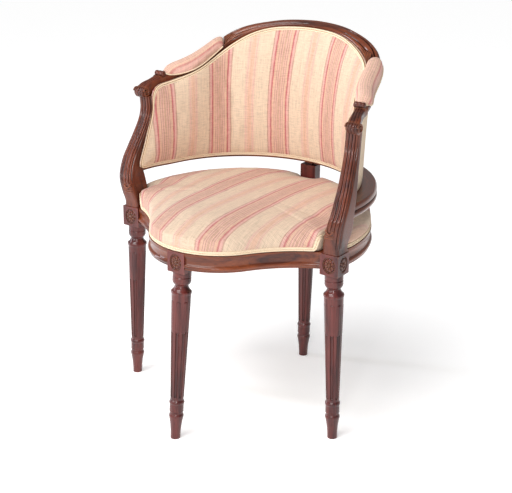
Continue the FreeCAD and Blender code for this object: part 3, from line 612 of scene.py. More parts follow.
seatCloth = stripedCloth("seatCloth", 0.0725, 0.16, 0.82)
backCloth = stripedCloth("backCloth", -0.062, 0.06, 0.93)
padCloth = stripedCloth("padCloth", 0.0, 0.3, 1.0)
creamCloth = plainCloth("creamCloth", (236, 212, 184), 620.0, 0.9)
weltCloth = cordCloth("weltCloth", (250, 230, 200))
juteCloth = plainCloth("juteCloth", (150, 120, 80), 330.0, 0.8, 0.9, 0.45)
strapCloth = plainCloth("strapCloth", (176, 156, 120), 420.0, 0.6, 0.8, 0.5)
print("materials built")


# seat pad: one crowned form on the rails, cut round the supports and the back post

seat = {"bowRadius": 151, "bowFront": -251, "bowHalf": 57, "flankRadius": 275, "rearRadius": 274,
        "notchX": 239.5, "notchY": -37, "postHalf": 21, "postY": 240, "middle": (0, -15), "edgeInset": 2.2,
        "edgeHigh": 437, "notchHigh": 454, "top": 463, "roll": 36, "notchRoll": 14, "crown": 14,
        "crownReach": 62, "low": 418, "swell": 5, "heldRim": 3, "acrossShare": (0.4, 1.0),
        "supportX": 225, "supportY": (-85, -34), "lean": 3, "cornerLean": 12,
        "rings": (0.9, 0.8, 0.7, 0.6, 0.5, 0.42, 0.35, 0.29, 0.24, 0.2, 0.165, 0.135, 0.11, 0.09, 0.072,
                  0.056, 0.042, 0.03, 0.02, 0.012, 0.005, 0),
        "boxing": ((0.12, -0.5), (0.3, -0.8), (0.5, -0.2), (0.7, 1.0), (0.88, 3.0), (1.0, 4.5))}


def seatEdge(inset):
    bow = seat["bowRadius"] - inset
    flank = seat["flankRadius"] + inset
    rear = seat["rearRadius"] - inset
    bowY = seat["bowFront"] + seat["bowRadius"]
    half = math.radians(seat["bowHalf"])
    reach = seat["bowRadius"] + seat["flankRadius"]
    flankX, flankY = reach * math.sin(half), bowY - reach * math.cos(half)
    sideX, sideY = seat["notchX"] - inset, seat["notchY"] + inset
    post = seat["postHalf"] + inset
    turn = np.linspace(0, half, 60)
    right = [np.c_[bow * np.sin(turn), bowY - bow * np.cos(turn)]]
    turn = np.linspace(half, math.asin((flankX - sideX) / flank), 40)
    right.append(np.c_[flankX - flank * np.sin(turn), flankY + flank * np.cos(turn)][1:])
    right.append(np.array([(sideX, sideY)]))
    turn = np.linspace(math.asin((sideY - backCentreY) / rear), math.acos(post / rear), 120)
    right.append(np.c_[rear * np.cos(turn), backCentreY + rear * np.sin(turn)])
    right.append(np.array([(post, seat["postY"] - inset)]))
    right = np.concatenate(right)
    return np.concatenate([right, (right * (-1, 1))[::-1][:-1]])


def nearSupports(loop, passes):  # 1 beside the arm supports, 0 elsewhere
    first, last = seat["supportY"]
    beside = (np.abs(loop[:, 0]) > seat["supportX"]) & (loop[:, 1] > first) & (loop[:, 1] < last)
    return softened(beside.astype(float), passes)


def pulled(flat):  # the stripes lean a little where the cloth is drawn round the front corner
    corner = seat["cornerLean"] * ease((flat[:, 0] - 120) / 80) * ease((-flat[:, 1] - 50) / 130)
    lean = seat["lean"] + corner
    return flat + np.c_[lean, np.zeros(len(flat))]


def makeSeat():
    loop = soften(resample(seatEdge(seat["edgeInset"]), 4.5), 6)
    normal = outward(loop)
    raised = nearSupports(loop, 3)
    high = seat["edgeHigh"] + (seat["notchHigh"] - seat["edgeHigh"]) * raised
    bend = seat["roll"] + (seat["notchRoll"] - seat["roll"]) * softened(raised, 60)
    crownBend = softened(bend, 300)
    middle = np.array(seat["middle"])
    hub = (*middle, seat["top"] + seat["crown"])
    rows, uvs = [], []
    away = unit(loop - middle)
    before = np.tile(hub, (len(loop), 1))
    extra = np.zeros(len(loop))  # cloth taken up by the crown and the rolled edge
    for share in 1 - np.array(seat["rings"]):
        flat = middle + (loop - middle) * share
        d = reachToLoop(flat, loop) if share < 1 else np.zeros(len(loop))
        rolled = (1 - np.clip(1 - d / bend, 0, 1) ** 2.3) ** (1 / 2.3)
        z = high + (seat["top"] - high) * rolled
        z = z + seat["crown"] * (1 - np.exp(-np.clip(d - 0.5 * crownBend, 0, None) / seat["crownReach"]))
        rows.append(np.c_[flat, z])
        step = rows[-1] - before
        extra = extra + np.linalg.norm(step, axis=1) - np.linalg.norm(step[:, :2], axis=1)
        before = rows[-1]
        uvs.append(pulled(flat) + away * extra[:, None] * seat["acrossShare"])
    for share, inset in seat["boxing"]:
        z = high + (seat["low"] - high) * share
        rows.append(np.c_[loop - normal * inset, z])
        drop = (high - z)[:, None]
        uvs.append(pulled(loop) + (away * extra[:, None] + normal * drop) * seat["acrossShare"])
    count, last = len(loop), len(rows) * len(loop)
    verts = np.concatenate(rows + [[hub]])
    uv = np.concatenate(uvs + [pulled(middle[None])])
    faces = gridFaces(len(rows), count, True)
    faces += [(last, k, j) for j, k in ringPairs(count)]
    faces.append(tuple(range(last - 1, last - count - 1, -1)))
    pad = piece("seatPad", [(verts, faces, uv)], seatCloth, ("seat_stuffing", "seat_cover"))
    plump(pad, lambda at: (at[:, 2] < seat["edgeHigh"]) | (reachToLoop(at[:, :2], loop) < seat["heldRim"]),
          seat["swell"])


seatCord = {"inset": 3.2, "height": 422.2, "rise": 27, "radius": 2.35}


def makeSeatWelt():
    loop = soften(resample(seatEdge(seatCord["inset"]), 3.0), 4)
    path = np.c_[loop, seatCord["height"] + seatCord["rise"] * nearSupports(loop, 2)]
    normals = np.c_[outward(loop), np.zeros(len(loop))]
    piece("seatWelt", doubleCord(path, normals, seatCord["radius"]), weltCloth, ("seat_welt",))


makeSeat()
makeSeatWelt()
print("seat built")


# carving shared by the supports and arms

def reedShape(u, count):  # 0 in the grooves, 1 on the crests, over u from -1 to 1
    part = np.mod((u + 1) / 2 * count, 1)
    return np.sqrt(np.clip(1 - (2 * part - 1) ** 2, 0, 1))


def roll(first, last, y, z, radius, ribs):  # roll along x with domed ends, grooved round it where it has ribs
    turn = fullTurn(44)
    out = []
    for share in np.linspace(0, 1, 61):
        edge = min(share, 1 - share) * (last - first) / radius
        dome = math.sqrt(max(0.0, 1 - max(0.0, 1 - edge / 0.5) ** 2))
        r = radius * (0.4 + 0.6 * dome)
        if ribs:
            r -= 0.16 * radius * (1 - float(reedShape(np.array(2 * share - 1), ribs)))
        x = np.full(len(turn), first + (last - first) * share)
        out.append(np.c_[x, y + r * np.cos(turn), z + r * np.sin(turn)])
    return skin(out)


def volute(x, y, z, radius, way, thick):  # coil on the end of a roll, seen from the side
    turn = np.linspace(0.3, 2 * np.pi * 1.55, 60)
    r = radius * (0.9 - 0.72 * (turn / turn[-1]))
    path = np.c_[np.full(len(turn), x + way * thick * 0.3), y - r * np.cos(turn), z + r * np.sin(turn)]
    return tube(path, np.tile((way, 0.0, 0.0), (len(turn), 1)), thick, False)


# arm supports: reeded S-shaped uprights on a plain foot, with a curl and a band where the reeds end

support = {"heights": (417, 426, 450, 475, 500, 525, 550, 580, 610, 632, 660),
           "x": (261, 260.5, 265, 270.5, 274.5, 275, 273, 269, 265.5, 264.5, 266.5),
           "y": (-65, -65, -64.5, -65, -63.5, -56.5, -45, -31.5, -19, -14.5, -15),
           "wide": (39, 38, 37, 34, 32.5, 31.5, 30, 29, 28.5, 29, 29),
           "deep": (39, 39.5, 50, 54, 46.5, 41, 35, 28.5, 24.5, 23, 23),
           "reeds": 5, "reedDepth": 2.8, "bend": 7, "bead": 1.2, "corner": 4, "curl": 466, "foot": 426,
           "knee": (2.2, 20, 15), "bands": (7.5, 12.5), "budRadius": 2.9}


def supportAt(key, z):
    return through(support["heights"], support[key], z)


def supportSize(z):
    return [float(supportAt(key, z)) for key in ("x", "y", "wide", "deep")]


def supportRing(z):
    x, y, wide, deep = supportSize(z)
    swell, above, spread = support["knee"]
    knee = swell * math.exp(-((z - support["curl"] - above) / spread) ** 2)
    u = np.linspace(-1, 1, 121)
    bend, flat = support["bend"], wide / 2 - support["bend"]  # the reeds turn the front corners
    away = np.abs(u) * (flat + bend * math.pi / 2)
    turned = np.clip(away - flat, 0, None) / bend
    lower = (support["curl"] - support["foot"]) * ease((u - 0.2) / 0.2)  # the outer reeds run on to the foot
    carved = ease((z - (support["curl"] - lower)) / 12)
    cut = support["reedDepth"] * carved * (1 - reedShape(u, support["reeds"])) - knee * (1 - u ** 2)
    across = np.sign(u) * (np.minimum(away, flat) + (bend - cut) * np.sin(turned))
    front = -deep / 2 + bend - (bend - cut) * np.cos(turned)
    corner = support["corner"]
    run = np.linspace(front[-1], deep / 2 - corner, 22)[1:]
    ahead = run - run[0]
    side = support["bead"] * carved[-1] * (hump(ahead, 1, 1.4, 1.1) - hump(ahead, 0.9, 4.2, 1.0))
    turn = np.radians(np.linspace(15, 90, 6))
    rounded = np.c_[wide / 2 - corner + corner * np.cos(turn), deep / 2 - corner + corner * np.sin(turn)]
    back = np.concatenate([np.c_[wide / 2 + side, run], rounded])
    ring = np.concatenate([np.c_[across, front], back, (back * (-1, 1))[::-1]])
    return np.c_[ring + (x, y), np.full(len(ring), z)]


def supportCurl():  # turned-up lip of the carving with a bud beside it, above a double band
    z = support["curl"]
    x, y, wide, deep = supportSize(z)
    front = y - deep / 2
    t = np.linspace(-1, 1, 40)
    lip = np.c_[x + wide / 2 * (-0.3 + 0.5 * t), front - 1.2 + 0.8 * t ** 2, z - 3 + 8 * t ** 2]
    parts = [tube(lip, np.tile((0.0, -1.0, 0.0), (len(t), 1)), 2.3, False)]
    turn = fullTurn(20)
    bud = []
    for share in np.linspace(0.04, 0.96, 9):
        r = support["budRadius"] * math.sin(math.pi * share)
        out = np.full(len(turn), front - 0.6 - support["budRadius"] * math.cos(math.pi * share))
        bud.append(np.c_[x - 0.36 * wide + r * np.cos(turn), out, z + 4.5 + r * np.sin(turn)])
    parts.append(skin(bud))
    for low in support["bands"]:
        x, y, wide, deep = supportSize(z - low)
        parts.append(roll(x - 0.44 * wide, x + 0.16 * wide, y - deep / 2 + 0.4, z - low, 1.6, 0))
    return parts


def makeSupport(side):
    rings = [supportRing(z) for z in np.r_[417.2, np.linspace(420, 658, 96)]]
    parts = onSide([skin(rings), *supportCurl()], side)
    piece(side + "ArmSupport", parts, armWood, (side + "_arm_support",), 50)


for side in bothSides:
    makeSupport(side)
print("arm supports built")


# arms: wood under the pads, a ramp with reeds, a small scroll and the rolled hand end

arm = {"first": 6, "last": 45, "half": 15, "depth": 14, "lift": 6, "undercut": 9, "drawnIn": 7,
       "handY": (-27, -15, 1, 15, 29), "handX": (271.5, 268.5, 263, 260, 258.5),
       "handWide": (27, 26, 23, 23, 27), "handLow": (656, 650, 664, 675, 681),
       "handHigh": (679, 686, 692, 697, 699.5), "reeds": 4, "reedDepth": 1.8,
       "knuckle": (258, 285, -25, 667, 12), "coil": 1.9,
       "scroll": (243, 269, 22, 702.5, 6.4), "scrollRibs": 3}  # inner, outer, y, z, radius


def armRing(angle):
    middle, line = float(upperMiddle(angle)), float(woodLine(angle))
    inner = middle - arm["half"]
    outer = middle + arm["half"] - arm["drawnIn"] * float(ease((15 - angle) / 9))
    top, low, under = line + arm["lift"], line - arm["depth"], outer - arm["undercut"]
    section = np.array([
        (inner, low), (inner, line - 2), (inner - 0.9, line - 0.8), (inner - 1.2, line + 1),
        (inner - 0.6, line + 3), (inner + 0.6, line + 4.2), (inner + 0.9, line + 5), (inner + 2.2, top),
        (outer - 3, top), (outer - 0.8, top - 1), (outer, top - 3), (outer - 0.6, line - 2),
        (outer - 0.4 * arm["undercut"], line - 0.6 * arm["depth"]), (under, low + 0.8), (under - 2, low)])
    return polar(section[:, 0], angle, section[:, 1])


def handRing(y):
    x, wide, low, high = (float(through(arm["handY"], arm[key], y))
                          for key in ("handX", "handWide", "handLow", "handHigh"))
    u = np.linspace(-1, 1, 65)
    half = wide / 2
    top = high + 0.6 - 3.0 * np.abs(u) ** 3 - arm["reedDepth"] * (1 - reedShape(u, arm["reeds"]))
    flank = np.array([(half + 0.4, high - 6), (half - 0.4, high - 9), (half - 0.8, low + 4),
                      (half - 2.5, low + 1)])
    ring = np.concatenate([np.c_[u * half, top], flank, [(0, low)], (flank * (-1, 1))[::-1]])
    return np.c_[x + ring[:, 0], np.full(len(ring), y), ring[:, 1]]


def makeArm(side):
    parts = [skin([armRing(angle) for angle in np.linspace(arm["first"], arm["last"], 40)]),
             skin([handRing(y) for y in np.linspace(arm["handY"][-1], arm["handY"][0], 26)]),
             roll(*arm["knuckle"], arm["reeds"])]
    inner, outer, y, z, radius = arm["knuckle"]
    parts += [volute(x, y, z, radius, way, arm["coil"]) for x, way in ((inner, -1), (outer, 1))]
    parts.append(roll(*arm["scroll"], arm["scrollRibs"]))
    piece(side + "Arm", onSide(parts, side), armWood, (side + "_arm",), 45)


for side in bothSides:
    makeArm(side)


# crest: moulded top rail, a bead by the welt, a cove and a narrow top band, with a sprig beside each pad

# a finger of the sprig: start and length in degrees, place up the face, thickness
crest = {"lift": 11, "endLift": 9, "joint": 44.3,
         "profile": [(-15, -16), (-15, -2), (-15.6, -0.6), (-16.6, 0.8), (-16.8, 2.6), (-15.6, 4.6),
                     (-13.6, 5.6), (-11.9, 5.0), (-11.2, 3.2), (-10.6, 2.2), (-10.0, 2.6), (-9.4, 4.6),
                     (-7.6, 7.8), (-5.0, 9.6), (-2.4, 10.0), (-1.2, 9.2), (-0.7, 7.8), (-0.1, 7.4),
                     (0.5, 8.2), (1.0, 10.2), (2.4, 11), (5.6, 11), (7.2, 10.4), (7.8, 8.6), (8.4, 8.2),
                     (9.2, 8.8), (11.4, 7.4), (13.6, 4), (14.8, -1), (14.9, -6), (14, -11), (12.6, -14.6),
                     (11, -16)],
         "sprig": ((44.0, 9.5, 0.0, 2.2), (44.2, 8.0, 3.4, 2.0), (44.0, 6.5, 7.0, 2.0),
                   (44.2, 5.0, 10.6, 1.9), (44.0, 3.6, 14.0, 1.9))}


def crestRing(angle):
    grow = (crest["lift"] + crest["endLift"] * float(ease((abs(angle - 90) - 22) / 23))) / crest["lift"]
    section = np.array([(r, z * grow if z > 0 else z) for r, z in crest["profile"]])
    return polar(float(upperMiddle(angle)) + section[:, 0], angle, float(woodLine(angle)) + section[:, 1])


def crestFinger(start, length, lean, rise):  # one finger of the carved sprig on the crest's inner face
    turn = fullTurn(12)
    rings = []
    for share in np.linspace(0, 1, 15):
        angle = start + length * share
        r = float(upperMiddle(angle)) - 18.2 + 0.75 * lean * (0.8 + 0.2 * share)
        z = float(woodLine(angle)) + 7.0 + lean * (1 - 0.3 * share) + 2.0 * math.sin(math.pi * share)
        thick = rise * math.sin(math.pi * (0.12 + 0.86 * share)) ** 0.8
        rings.append(polar(r + thick * 0.75 * np.cos(turn), angle, z + thick * np.sin(turn)))
    return skin(rings)


def makeCrest():
    rings = [crestRing(angle) for angle in np.linspace(crest["joint"], 180 - crest["joint"], 121)]
    sprig = [crestFinger(*finger) for finger in crest["sprig"]]
    parts = [skin(rings), *sprig, *(flipX(finger) for finger in sprig)]
    piece("crestRail", parts, railWood, ("crest_rail",), 38)


makeCrest()
print("arms and crest built")


# inside back: one padded panel inside the frame, edged with a double welt

insideBack = {"flatRadius": 245, "low": 499, "clothRadius": 228, "edgeSink": 3.0, "puff": 9, "puffReach": 9,
              "swell": 9, "swellReach": 62, "corner": 14, "topCorner": 24, "cap": 5, "backing": 0.6,
              "cols": 170, "rows": 66, "weltRadius": 2.3, "weltInset": 3.6, "weltDepth": 5.2,
              "edgeRadius": 250, "underLine": 1.5, "footIn": 7, "footTop": 600, "footOver": 60,
              "lean": 12, "leanFrom": 630, "leanOver": 160,
              "dropAt": (0, 35, 45, 57, 66, 75, 80, 90), "drop": (0, 0, 2, 0.6, 0.6, 4, 7, 9.5)}
supportTop = 655  # above this the back's edges run straight up


def panelOutline():
    flat = insideBack["flatRadius"]
    z = np.linspace(insideBack["low"], backLine["low"], 60)
    drawn = insideBack["footIn"] * ease((insideBack["footTop"] - z) / insideBack["footOver"])
    y = supportAt("y", np.minimum(z, supportTop)) + drawn
    edge = flat * np.radians(90 - np.degrees(np.arcsin((y - backCentreY) / insideBack["edgeRadius"])))
    last = edge[-1]
    across = np.linspace(last, 0, 240)
    swing = np.degrees(across / flat)
    drop = through(insideBack["dropAt"], insideBack["drop"], swing)
    top = woodLine(90 - swing) - insideBack["underLine"] - drop
    near = np.clip(1 - (last - across) / insideBack["topCorner"], 0, 1)
    top -= insideBack["topCorner"] * (1 - np.sqrt(1 - near ** 2))
    edge = np.c_[edge, z][z < top[0]]
    foot = edge[0, 0]
    bottom = np.c_[np.linspace(0, foot, 100), np.full(100, insideBack["low"])]
    half = np.concatenate([bottom, edge[1:], np.c_[across, top]])
    loop = resample(np.concatenate([half, (half * (-1, 1))[::-1][1:-1]]), 4.0)
    loop = soften(loop, insideBack["corner"])
    corners = [(foot, insideBack["low"]), (last, top[0]), (-last, top[0]), (-foot, insideBack["low"])]
    return loop, [int(np.argmin(((loop - corner) ** 2).sum(1))) for corner in corners]


def onBack(flatPoints, depth):  # panel coordinates to the curved back, at a depth inside the frame
    a, z = flatPoints[..., 0], flatPoints[..., 1]
    angle = 90 - np.degrees(a / insideBack["flatRadius"])
    return polar(frameInner(angle, z) - depth, angle, z)


def runBetween(loop, first, last, count):  # a stretch of the outline
    order = np.arange(first, last + 1 if last >= first else last + len(loop) + 1) % len(loop)
    return evenly(loop[order], count)


def heldBack(at):  # the panel's rim and the side against the frame
    angle = np.degrees(np.arctan2(at[:, 1] - backCentreY, at[:, 0]))
    depth = frameInner(angle, at[:, 2]) - np.hypot(at[:, 0], at[:, 1] - backCentreY)
    return depth < insideBack["edgeSink"] + 2


def makeInsideBack():
    loop, (rightLow, rightHigh, leftHigh, leftLow) = panelOutline()
    cols, rows = insideBack["cols"], insideBack["rows"]
    bottom = runBetween(loop, leftLow, rightLow, cols)
    right = runBetween(loop, rightLow, rightHigh, rows)
    top = runBetween(loop, rightHigh, leftHigh, cols)[::-1]
    left = runBetween(loop, leftHigh, leftLow, rows)[::-1]
    s = np.linspace(0, 1, cols)[None, :, None]
    t = np.linspace(0, 1, rows)[:, None, None]
    flat = ((1 - t) * bottom[None] + t * top[None] + (1 - s) * left[:, None] + s * right[:, None]
            - (1 - s) * (1 - t) * bottom[0] - s * (1 - t) * bottom[-1]
            - (1 - s) * t * top[0] - s * t * top[-1])
    flat = flat.reshape(-1, 2)
    count = len(flat)
    d = reachToLoop(flat, loop)
    depth = insideBack["edgeSink"] + insideBack["puff"] * (1 - np.exp(-d / insideBack["puffReach"]))
    depth += insideBack["swell"] * (1 - np.exp(-(d / insideBack["swellReach"]) ** 1.6))
    climb = np.clip((flat[:, 1] - insideBack["leanFrom"]) / insideBack["leanOver"], 0, 1)
    lean = insideBack["lean"] * climb ** 1.3  # stripes lean to the right under the crest
    uv = np.c_[flat[:, 0] * insideBack["clothRadius"] / insideBack["flatRadius"] - lean, flat[:, 1]]
    rim = gridRim(rows, cols)
    order = np.r_[rim, np.setdiff1d(np.arange(count), rim)]  # the backing's points, its rim first
    backing = onBack(flat[order], np.full(count, insideBack["backing"]))
    index = np.empty(count, int)
    index[order] = count + np.arange(count)
    faces = gridFaces(rows, cols)
    behind = [tuple(int(index[i]) for i in reversed(face)) for face in faces]
    faces += [(rim[k], rim[j], count + j, count + k) for j, k in ringPairs(len(rim))]
    part = (np.concatenate([onBack(flat, depth), backing]), faces + behind, np.concatenate([uv, uv[order]]))
    pad = piece("insideBackPad", [part], backCloth,
                ("back_stuffing", "inside_back_cover", "back_hessian", "back_webbing"))
    plump(pad, heldBack, insideBack["cap"])
    path = loop - outward(loop) * insideBack["weltInset"]
    cord = onBack(path, np.full(len(path), insideBack["weltDepth"]))
    normals = unit(-np.c_[cord[:, 0], cord[:, 1] - backCentreY, np.zeros(len(cord))])
    piece("insideBackWelt", doubleCord(cord, normals, insideBack["weltRadius"]), weltCloth,
          ("inside_back_welt",))


makeInsideBack()
print("inside back built")


# outside back: a plain panel of cloth stretched over the frame

outsideBack = {"low": 512.4, "underLine": 15.7, "set": 8.2, "puff": 3.0, "thick": 1.4,
               "edgeRadius": 251, "clothRadius": 252, "spanHigh": 270, "spanWide": 800, "puffReach": 18,
               "gap": 1, "cols": 150, "rows": 50}


def makeOutsideBack():
    cols, rows = outsideBack["cols"], outsideBack["rows"]
    t = np.linspace(0, 1, rows)[:, None]
    s = np.linspace(0, 1, cols)[None, :]
    angle = np.full((rows, cols), 90.0)
    for _ in range(5):  # the top line and the side edges settle together
        high = woodLine(angle) - outsideBack["underLine"]
        z = outsideBack["low"] + t * (high - outsideBack["low"])
        level = np.minimum(z, supportTop)
        rear = supportAt("y", level) + supportAt("deep", level) / 2 + outsideBack["gap"]
        first = np.degrees(np.arcsin((rear - backCentreY) / outsideBack["edgeRadius"]))
        angle = first + (180 - 2 * first) * s
    d = np.minimum(np.minimum(t, 1 - t) * outsideBack["spanHigh"],
                   np.minimum(s, 1 - s) * outsideBack["spanWide"])
    puffed = outsideBack["puff"] * (1 - np.exp(-d / outsideBack["puffReach"]))
    base = frameInner(angle, z) + (outsideBack["set"] + puffed)
    front = polar(base, angle, z)
    behind = polar(base - outsideBack["thick"], angle, z)
    uv = np.stack([np.radians(90 - angle) * outsideBack["clothRadius"], z], -1).reshape(-1, 2)
    count = rows * cols
    faces = gridFaces(rows, cols)
    faces += [tuple(count + i for i in reversed(face)) for face in faces]
    rim = gridRim(rows, cols).tolist()
    faces += [(rim[j], rim[k], count + rim[k], count + rim[j]) for j, k in ringPairs(len(rim))]
    verts = np.concatenate([front.reshape(-1, 3), behind.reshape(-1, 3)])
    panel = piece("outsideBackPanel", [(verts, faces, np.concatenate([uv, uv]))], creamCloth,
                  ("outside_back_cover",))


makeOutsideBack()


# arm pads: boat-shaped, tight, striped lengthwise, with a cord round the foot

armPad = {"first": 10.0, "last": 44.2, "at": (0, 0.06, 0.16, 0.32, 0.55, 0.75, 0.9, 1.0),
          "half": (11, 14, 17, 18.5, 20, 20, 18.8, 16.5), "rise": (7, 14, 19.5, 23.5, 26, 26.5, 25, 20),
          "drop": (0.5, 3.5, 5.5, 5.5, 4.5, 3.5, 2.5, 1.0), "lift": 6.2, "heldLift": 9, "clothRadius": 262,
          "tipLean": 4, "tipShare": 0.14, "tipHalf": 11.5, "tipLift": 7.4, "heartAt": 25, "heartLow": 40,
          "weltRadius": 1.8, "swell": 3}


def padAt(key, share):
    return through(armPad["at"], armPad[key], share)


def padAngle(share):
    return armPad["first"] + (armPad["last"] - armPad["first"]) * share


def padMiddle(angle, share):  # the tip leans to the inside of the arm
    return upperMiddle(angle) - armPad["tipLean"] * ease((armPad["tipShare"] - share) / armPad["tipShare"])


def heldPad(at):  # the foot of the pad
    angle = np.degrees(np.arctan2(at[:, 1] - backCentreY, np.abs(at[:, 0])))
    return at[:, 2] < woodLine(angle) + armPad["heldLift"]


def makeArmPad(side):
    rings, uvs = [], []
    turn = fullTurn(44)
    c, s = np.cos(turn), np.sin(turn)
    for share in 0.5 - 0.5 * np.cos(np.pi * np.linspace(0.012, 0.988, 60)):
        angle = padAngle(share)
        close = (1 - abs(2 * share - 1) ** 14) ** (1 / 3)  # rounds the ends
        half, rise, drop = (float(padAt(key, share)) * close for key in ("half", "rise", "drop"))
        across = half * np.sign(c) * np.abs(c) ** 0.85
        lower = -drop * np.abs(s) ** 0.5 * np.abs(c) ** 2
        z = float(woodLine(angle)) + armPad["lift"] + np.where(s >= 0, rise * np.abs(s) ** 0.8, 0.3 + lower)
        rings.append(polar(float(padMiddle(angle, share)) + across, angle, z))
        along = np.full(len(turn), np.radians(angle) * armPad["clothRadius"])
        uvs.append(np.c_[across + 6 * np.sign(c) * (1 - np.abs(s)), along])
    verts, faces, _ = skin(rings)
    uv = np.concatenate(uvs + [[uvs[0].mean(0)], [uvs[-1].mean(0)]])
    pad = piece(side + "ArmPad", onSide([(verts, faces, uv)], side), padCloth,
                (side + "_arm_stuffing", side + "_arm_cover"))
    plump(pad, heldPad, armPad["swell"])


def makeArmWelt(side):
    steps = np.linspace(0.03, 0.97, 60)
    angle = padAngle(steps)
    foot = woodLine(angle) + armPad["lift"] - 0.7 * padAt("drop", steps)
    middle, half = padMiddle(angle, steps), padAt("half", steps)
    inner = polar(middle - half + 0.2, angle, foot)[::-1]
    outer = polar(middle + half - 0.2, angle, foot)
    across = np.linspace(-1, 1, 13)[1:-1]
    tip = armPad["first"] - 0.25 + 0.9 * across ** 2
    front = polar(padMiddle(tip, 0) + across * armPad["tipHalf"], tip, woodLine(tip) + armPad["tipLift"])
    path = resample(np.concatenate([inner, front, outer]), 2.5, False)
    for _ in range(3):
        path[1:-1] = (path[:-2] + 2 * path[1:-1] + path[2:]) / 4
    at = armPad["heartAt"]
    heart = polar(upperMiddle(at), at, woodLine(at) - armPad["heartLow"])  # the cord faces away from here
    cord = tube(path, unit(path - heart), armPad["weltRadius"], False)
    piece(side + "ArmWelt", onSide([cord], side), weltCloth, (side + "_arm_welt",))


for side in bothSides:
    makeArmPad(side)
    makeArmWelt(side)
print("outside back and arm pads built")


# under the seat: woven straps below the sacking

underSeat = {"inset": 14, "sacking": (419.7, 420.4), "strap": 50, "pitch": 82, "straps": (-2, -1, 0, 1, 2),
             "thick": 1.1, "low": 417.2, "wave": 0.6}


def strapPart(loop, way, index):  # way 0 runs from front to back, 1 from side to side
    half, thick = underSeat["strap"] / 2, underSeat["thick"]
    middle = index * underSeat["pitch"]
    near = loop[np.abs(loop[:, way] - middle) < half + 3][:, 1 - way]
    along = np.linspace(near[near < 0].max(), near[near > 0].min(), 90)
    phase = (along / underSeat["pitch"]) * np.pi + np.pi * (index + way)
    height = underSeat["low"] + 0.65 + underSeat["wave"] * np.cos(phase)
    rows = []
    for edge, lift in ((-half, 0), (half, 0), (half, thick), (-half, thick)):
        flat = [np.full(len(along), middle + edge), along]
        rows.append(np.c_[flat[way], flat[1 - way], height + lift])
    verts, faces, _ = skin(np.stack(rows, 1))
    return verts, faces, np.c_[verts[:, way], verts[:, 1 - way]]


def makeUnderSeat():
    loop = resample(seatEdge(underSeat["inset"]), 6)
    count = len(loop)
    verts = np.concatenate([np.c_[loop, np.full(count, z)] for z in underSeat["sacking"]])
    faces = gridFaces(2, count, True)
    faces += [tuple(reversed(range(count))), tuple(range(count, 2 * count))]
    part = (verts, faces, verts[:, :2])
    sacking = piece("seatSacking", [part], juteCloth, ("seat_hessian",), 60)
    straps = [strapPart(loop, way, index) for way in (0, 1) for index in underSeat["straps"]]
    piece("seatStraps", straps, strapCloth, ("seat_webbing",), 50)


makeUnderSeat()
print("under the seat built")


# rosettes: oval flowers set in the sunk fields of the leg blocks

rosette = {"wide": 13.6, "tall": 16.2, "petals": 8, "floor": -2.3, "height": 394.5, "half": 21.5,
           "rim": 0.9, "petalFrom": 3.6, "petalLong": 8.4, "petalHalf": 2.9, "petalRise": 3.6, "boss": 4.4,
           "places": ((261, -65, 0), (261, -65, 90), (-261, -65, 0), (-261, -65, -90), (0, -230, 0),
                      (0, 243, 180))}  # x, y and the way that it faces, in degrees


def petal(way):
    side = fullTurn(14)
    dent = 0.7 * np.exp(-(np.cos(side) / 0.3) ** 2) * (np.sin(side) > 0)
    rings = []
    for share in np.linspace(0.02, 0.98, 13):
        reach = rosette["petalFrom"] + rosette["petalLong"] * share
        half = rosette["petalHalf"] * math.sin(math.pi * (0.1 + 0.86 * share)) ** 0.7
        rise = 0.6 + rosette["petalRise"] * math.sin(math.pi * (0.12 + 0.8 * share))
        a = half * np.cos(side)
        out = rosette["floor"] - 0.3 + np.maximum(0, (rise - dent * rise * 0.5) * np.sin(side))
        ring = np.stack([reach * math.cos(way) - a * math.sin(way),
                         reach * math.sin(way) + a * math.cos(way), out], -1)
        rings.append(ring * (1, rosette["tall"] / rosette["wide"], 1))
    return skin(rings)


def flower():  # across, up, out from the block's face
    turn = fullTurn(48)
    c, s, floor = np.cos(turn), np.sin(turn), rosette["floor"]
    rim = np.stack([rosette["wide"] * c, rosette["tall"] * s, np.full(len(turn), floor + 0.7)], -1)
    parts = [tube(rim, np.tile((0.0, 0.0, 1.0), (len(turn), 1)), rosette["rim"], True, 8)]
    parts += [petal(2 * math.pi * (index + 0.5) / rosette["petals"]) for index in range(rosette["petals"])]
    boss = []
    for share in np.linspace(0.98, 0.05, 9):
        r = rosette["boss"] * share * (1 + 0.06 * np.cos(8 * turn))
        boss.append(np.stack([r * c, r * s, np.full(len(turn), floor + 4.2 * math.sqrt(1 - share ** 2))], -1))
    return parts + [skin(boss)]


def makeRosettes():
    parts = []
    for x, y, facing in rosette["places"]:
        a = math.radians(facing)
        for verts, faces, _ in flower():
            across, up, out = verts[:, 0], verts[:, 1], rosette["half"] + verts[:, 2]
            placed = np.stack([x + across * math.cos(a) + out * math.sin(a),
                               y + across * math.sin(a) - out * math.cos(a), rosette["height"] + up], -1)
            parts.append((placed, faces, None))
    piece("rosettes", parts, carvedWood, (), 50)


makeRosettes()
print("rosettes built")


# CAD nodes that stay get their finish

finishes = {legWood: ("right_leg", "left_leg", "front_leg", "back_leg", "back_post"),
            railWood: ("front_right_rail", "front_left_rail", "back_right_rail", "back_left_rail",
                       "lower_rail_right", "lower_rail_left"),
            frameWood: ("corner_blocks", "support_dowels", "arm_dowels", "crest_dowels", "lower_rail_dowels"),
            screwSteel: ("corner_block_screws",)}
for finish, names in finishes.items():
    for name in names:
        nodes[name].data.materials.clear()
        nodes[name].data.materials.append(finish)
print("CAD nodes finished")


# floor, light and camera

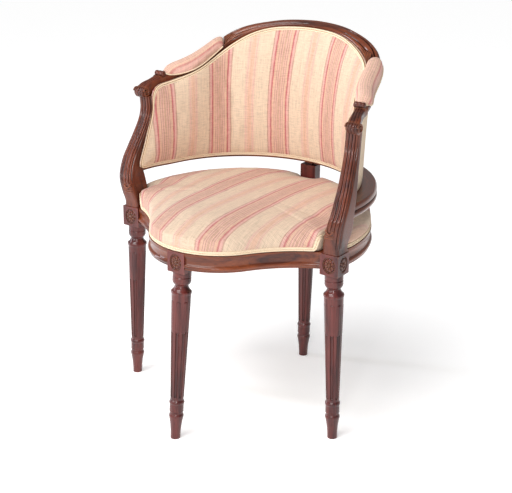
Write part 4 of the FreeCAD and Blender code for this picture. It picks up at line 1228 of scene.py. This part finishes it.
white = (1, 1, 1)
studio = {"floor": (250, 250, 250), "floorHalf": 14, "glow": 0.3, "world": 0.36,
          "sun": 1.2, "sunWidth": 32, "sunFrom": (-0.35, -0.87, 2.0), "aimedAt": (0, 0, 0.5),
          "lens": 81.26, "sensor": 36, "eye": (1.37499, -1.9454, 1.23439), "turn": (69.7075, -0.384, 34.9482),
          "lamps": (("front", (-0.5, -2.7, 1.2), 3.0, 0.2, 16, white),
                    ("top", (-0.4, -1.8, 2.5), 2.0, 0.25, 26, white),
                    ("side", (1.2, -2.3, 1.4), 0.5, 1.2, 22, white),
                    ("edge", (-2.2, -0.6, 0.9), 0.25, 1.8, 16, (0.86, 0.88, 1)))}


def aim(lamp, place, target):
    way = np.array(target) - np.array(place)
    lamp.location = place
    tilt = math.acos(-way[2] / np.linalg.norm(way))
    lamp.rotation_euler = (tilt, 0, math.atan2(way[1], way[0]) - math.pi / 2)


def makeFloor():
    mesh = bpy.data.meshes.new("floor")
    size = studio["floorHalf"]
    corners = [(-size, -size, 0), (size, -size, 0), (size, size, 0), (-size, size, 0)]
    mesh.from_pydata(corners, [], [(0, 1, 2, 3)])
    made, _, _ = newMaterial("paleFloor", {
        "Base Color": linear(*studio["floor"]), "Roughness": 0.9, "Specular IOR Level": 0.1,
        "Emission Color": (1, 1, 1, 1), "Emission Strength": studio["glow"]})
    mesh.materials.append(made)
    addObject("floor", mesh)


def makeLights():
    world = bpy.data.worlds.new("studio")
    world.use_nodes = True
    glow = world.node_tree.nodes["Background"].inputs
    glow[0].default_value = (1, 1, 1, 1)
    glow[1].default_value = studio["world"]
    bpy.context.scene.world = world
    sun = bpy.data.lights.new("sun", "SUN")
    sun.energy = studio["sun"]
    sun.angle = math.radians(studio["sunWidth"])
    aim(addObject("sun", sun), studio["sunFrom"], (0, 0, 0))
    for name, place, width, height, power, colour in studio["lamps"]:
        data = bpy.data.lights.new(name, "AREA")
        data.color = colour
        data.shape = "RECTANGLE"
        data.size, data.size_y = width, height
        data.energy = power
        aim(addObject(name, data), place, studio["aimedAt"])


def makeCamera():
    data = bpy.data.cameras.new("camera")
    data.lens = studio["lens"]
    data.sensor_width = studio["sensor"]
    camera = addObject("camera", data)
    camera.location = studio["eye"]
    camera.rotation_euler = [math.radians(turn) for turn in studio["turn"]]
    bpy.context.scene.camera = camera
    bpy.context.scene.view_settings.view_transform = "Standard"


makeFloor()
makeLights()
makeCamera()
print("studio built")
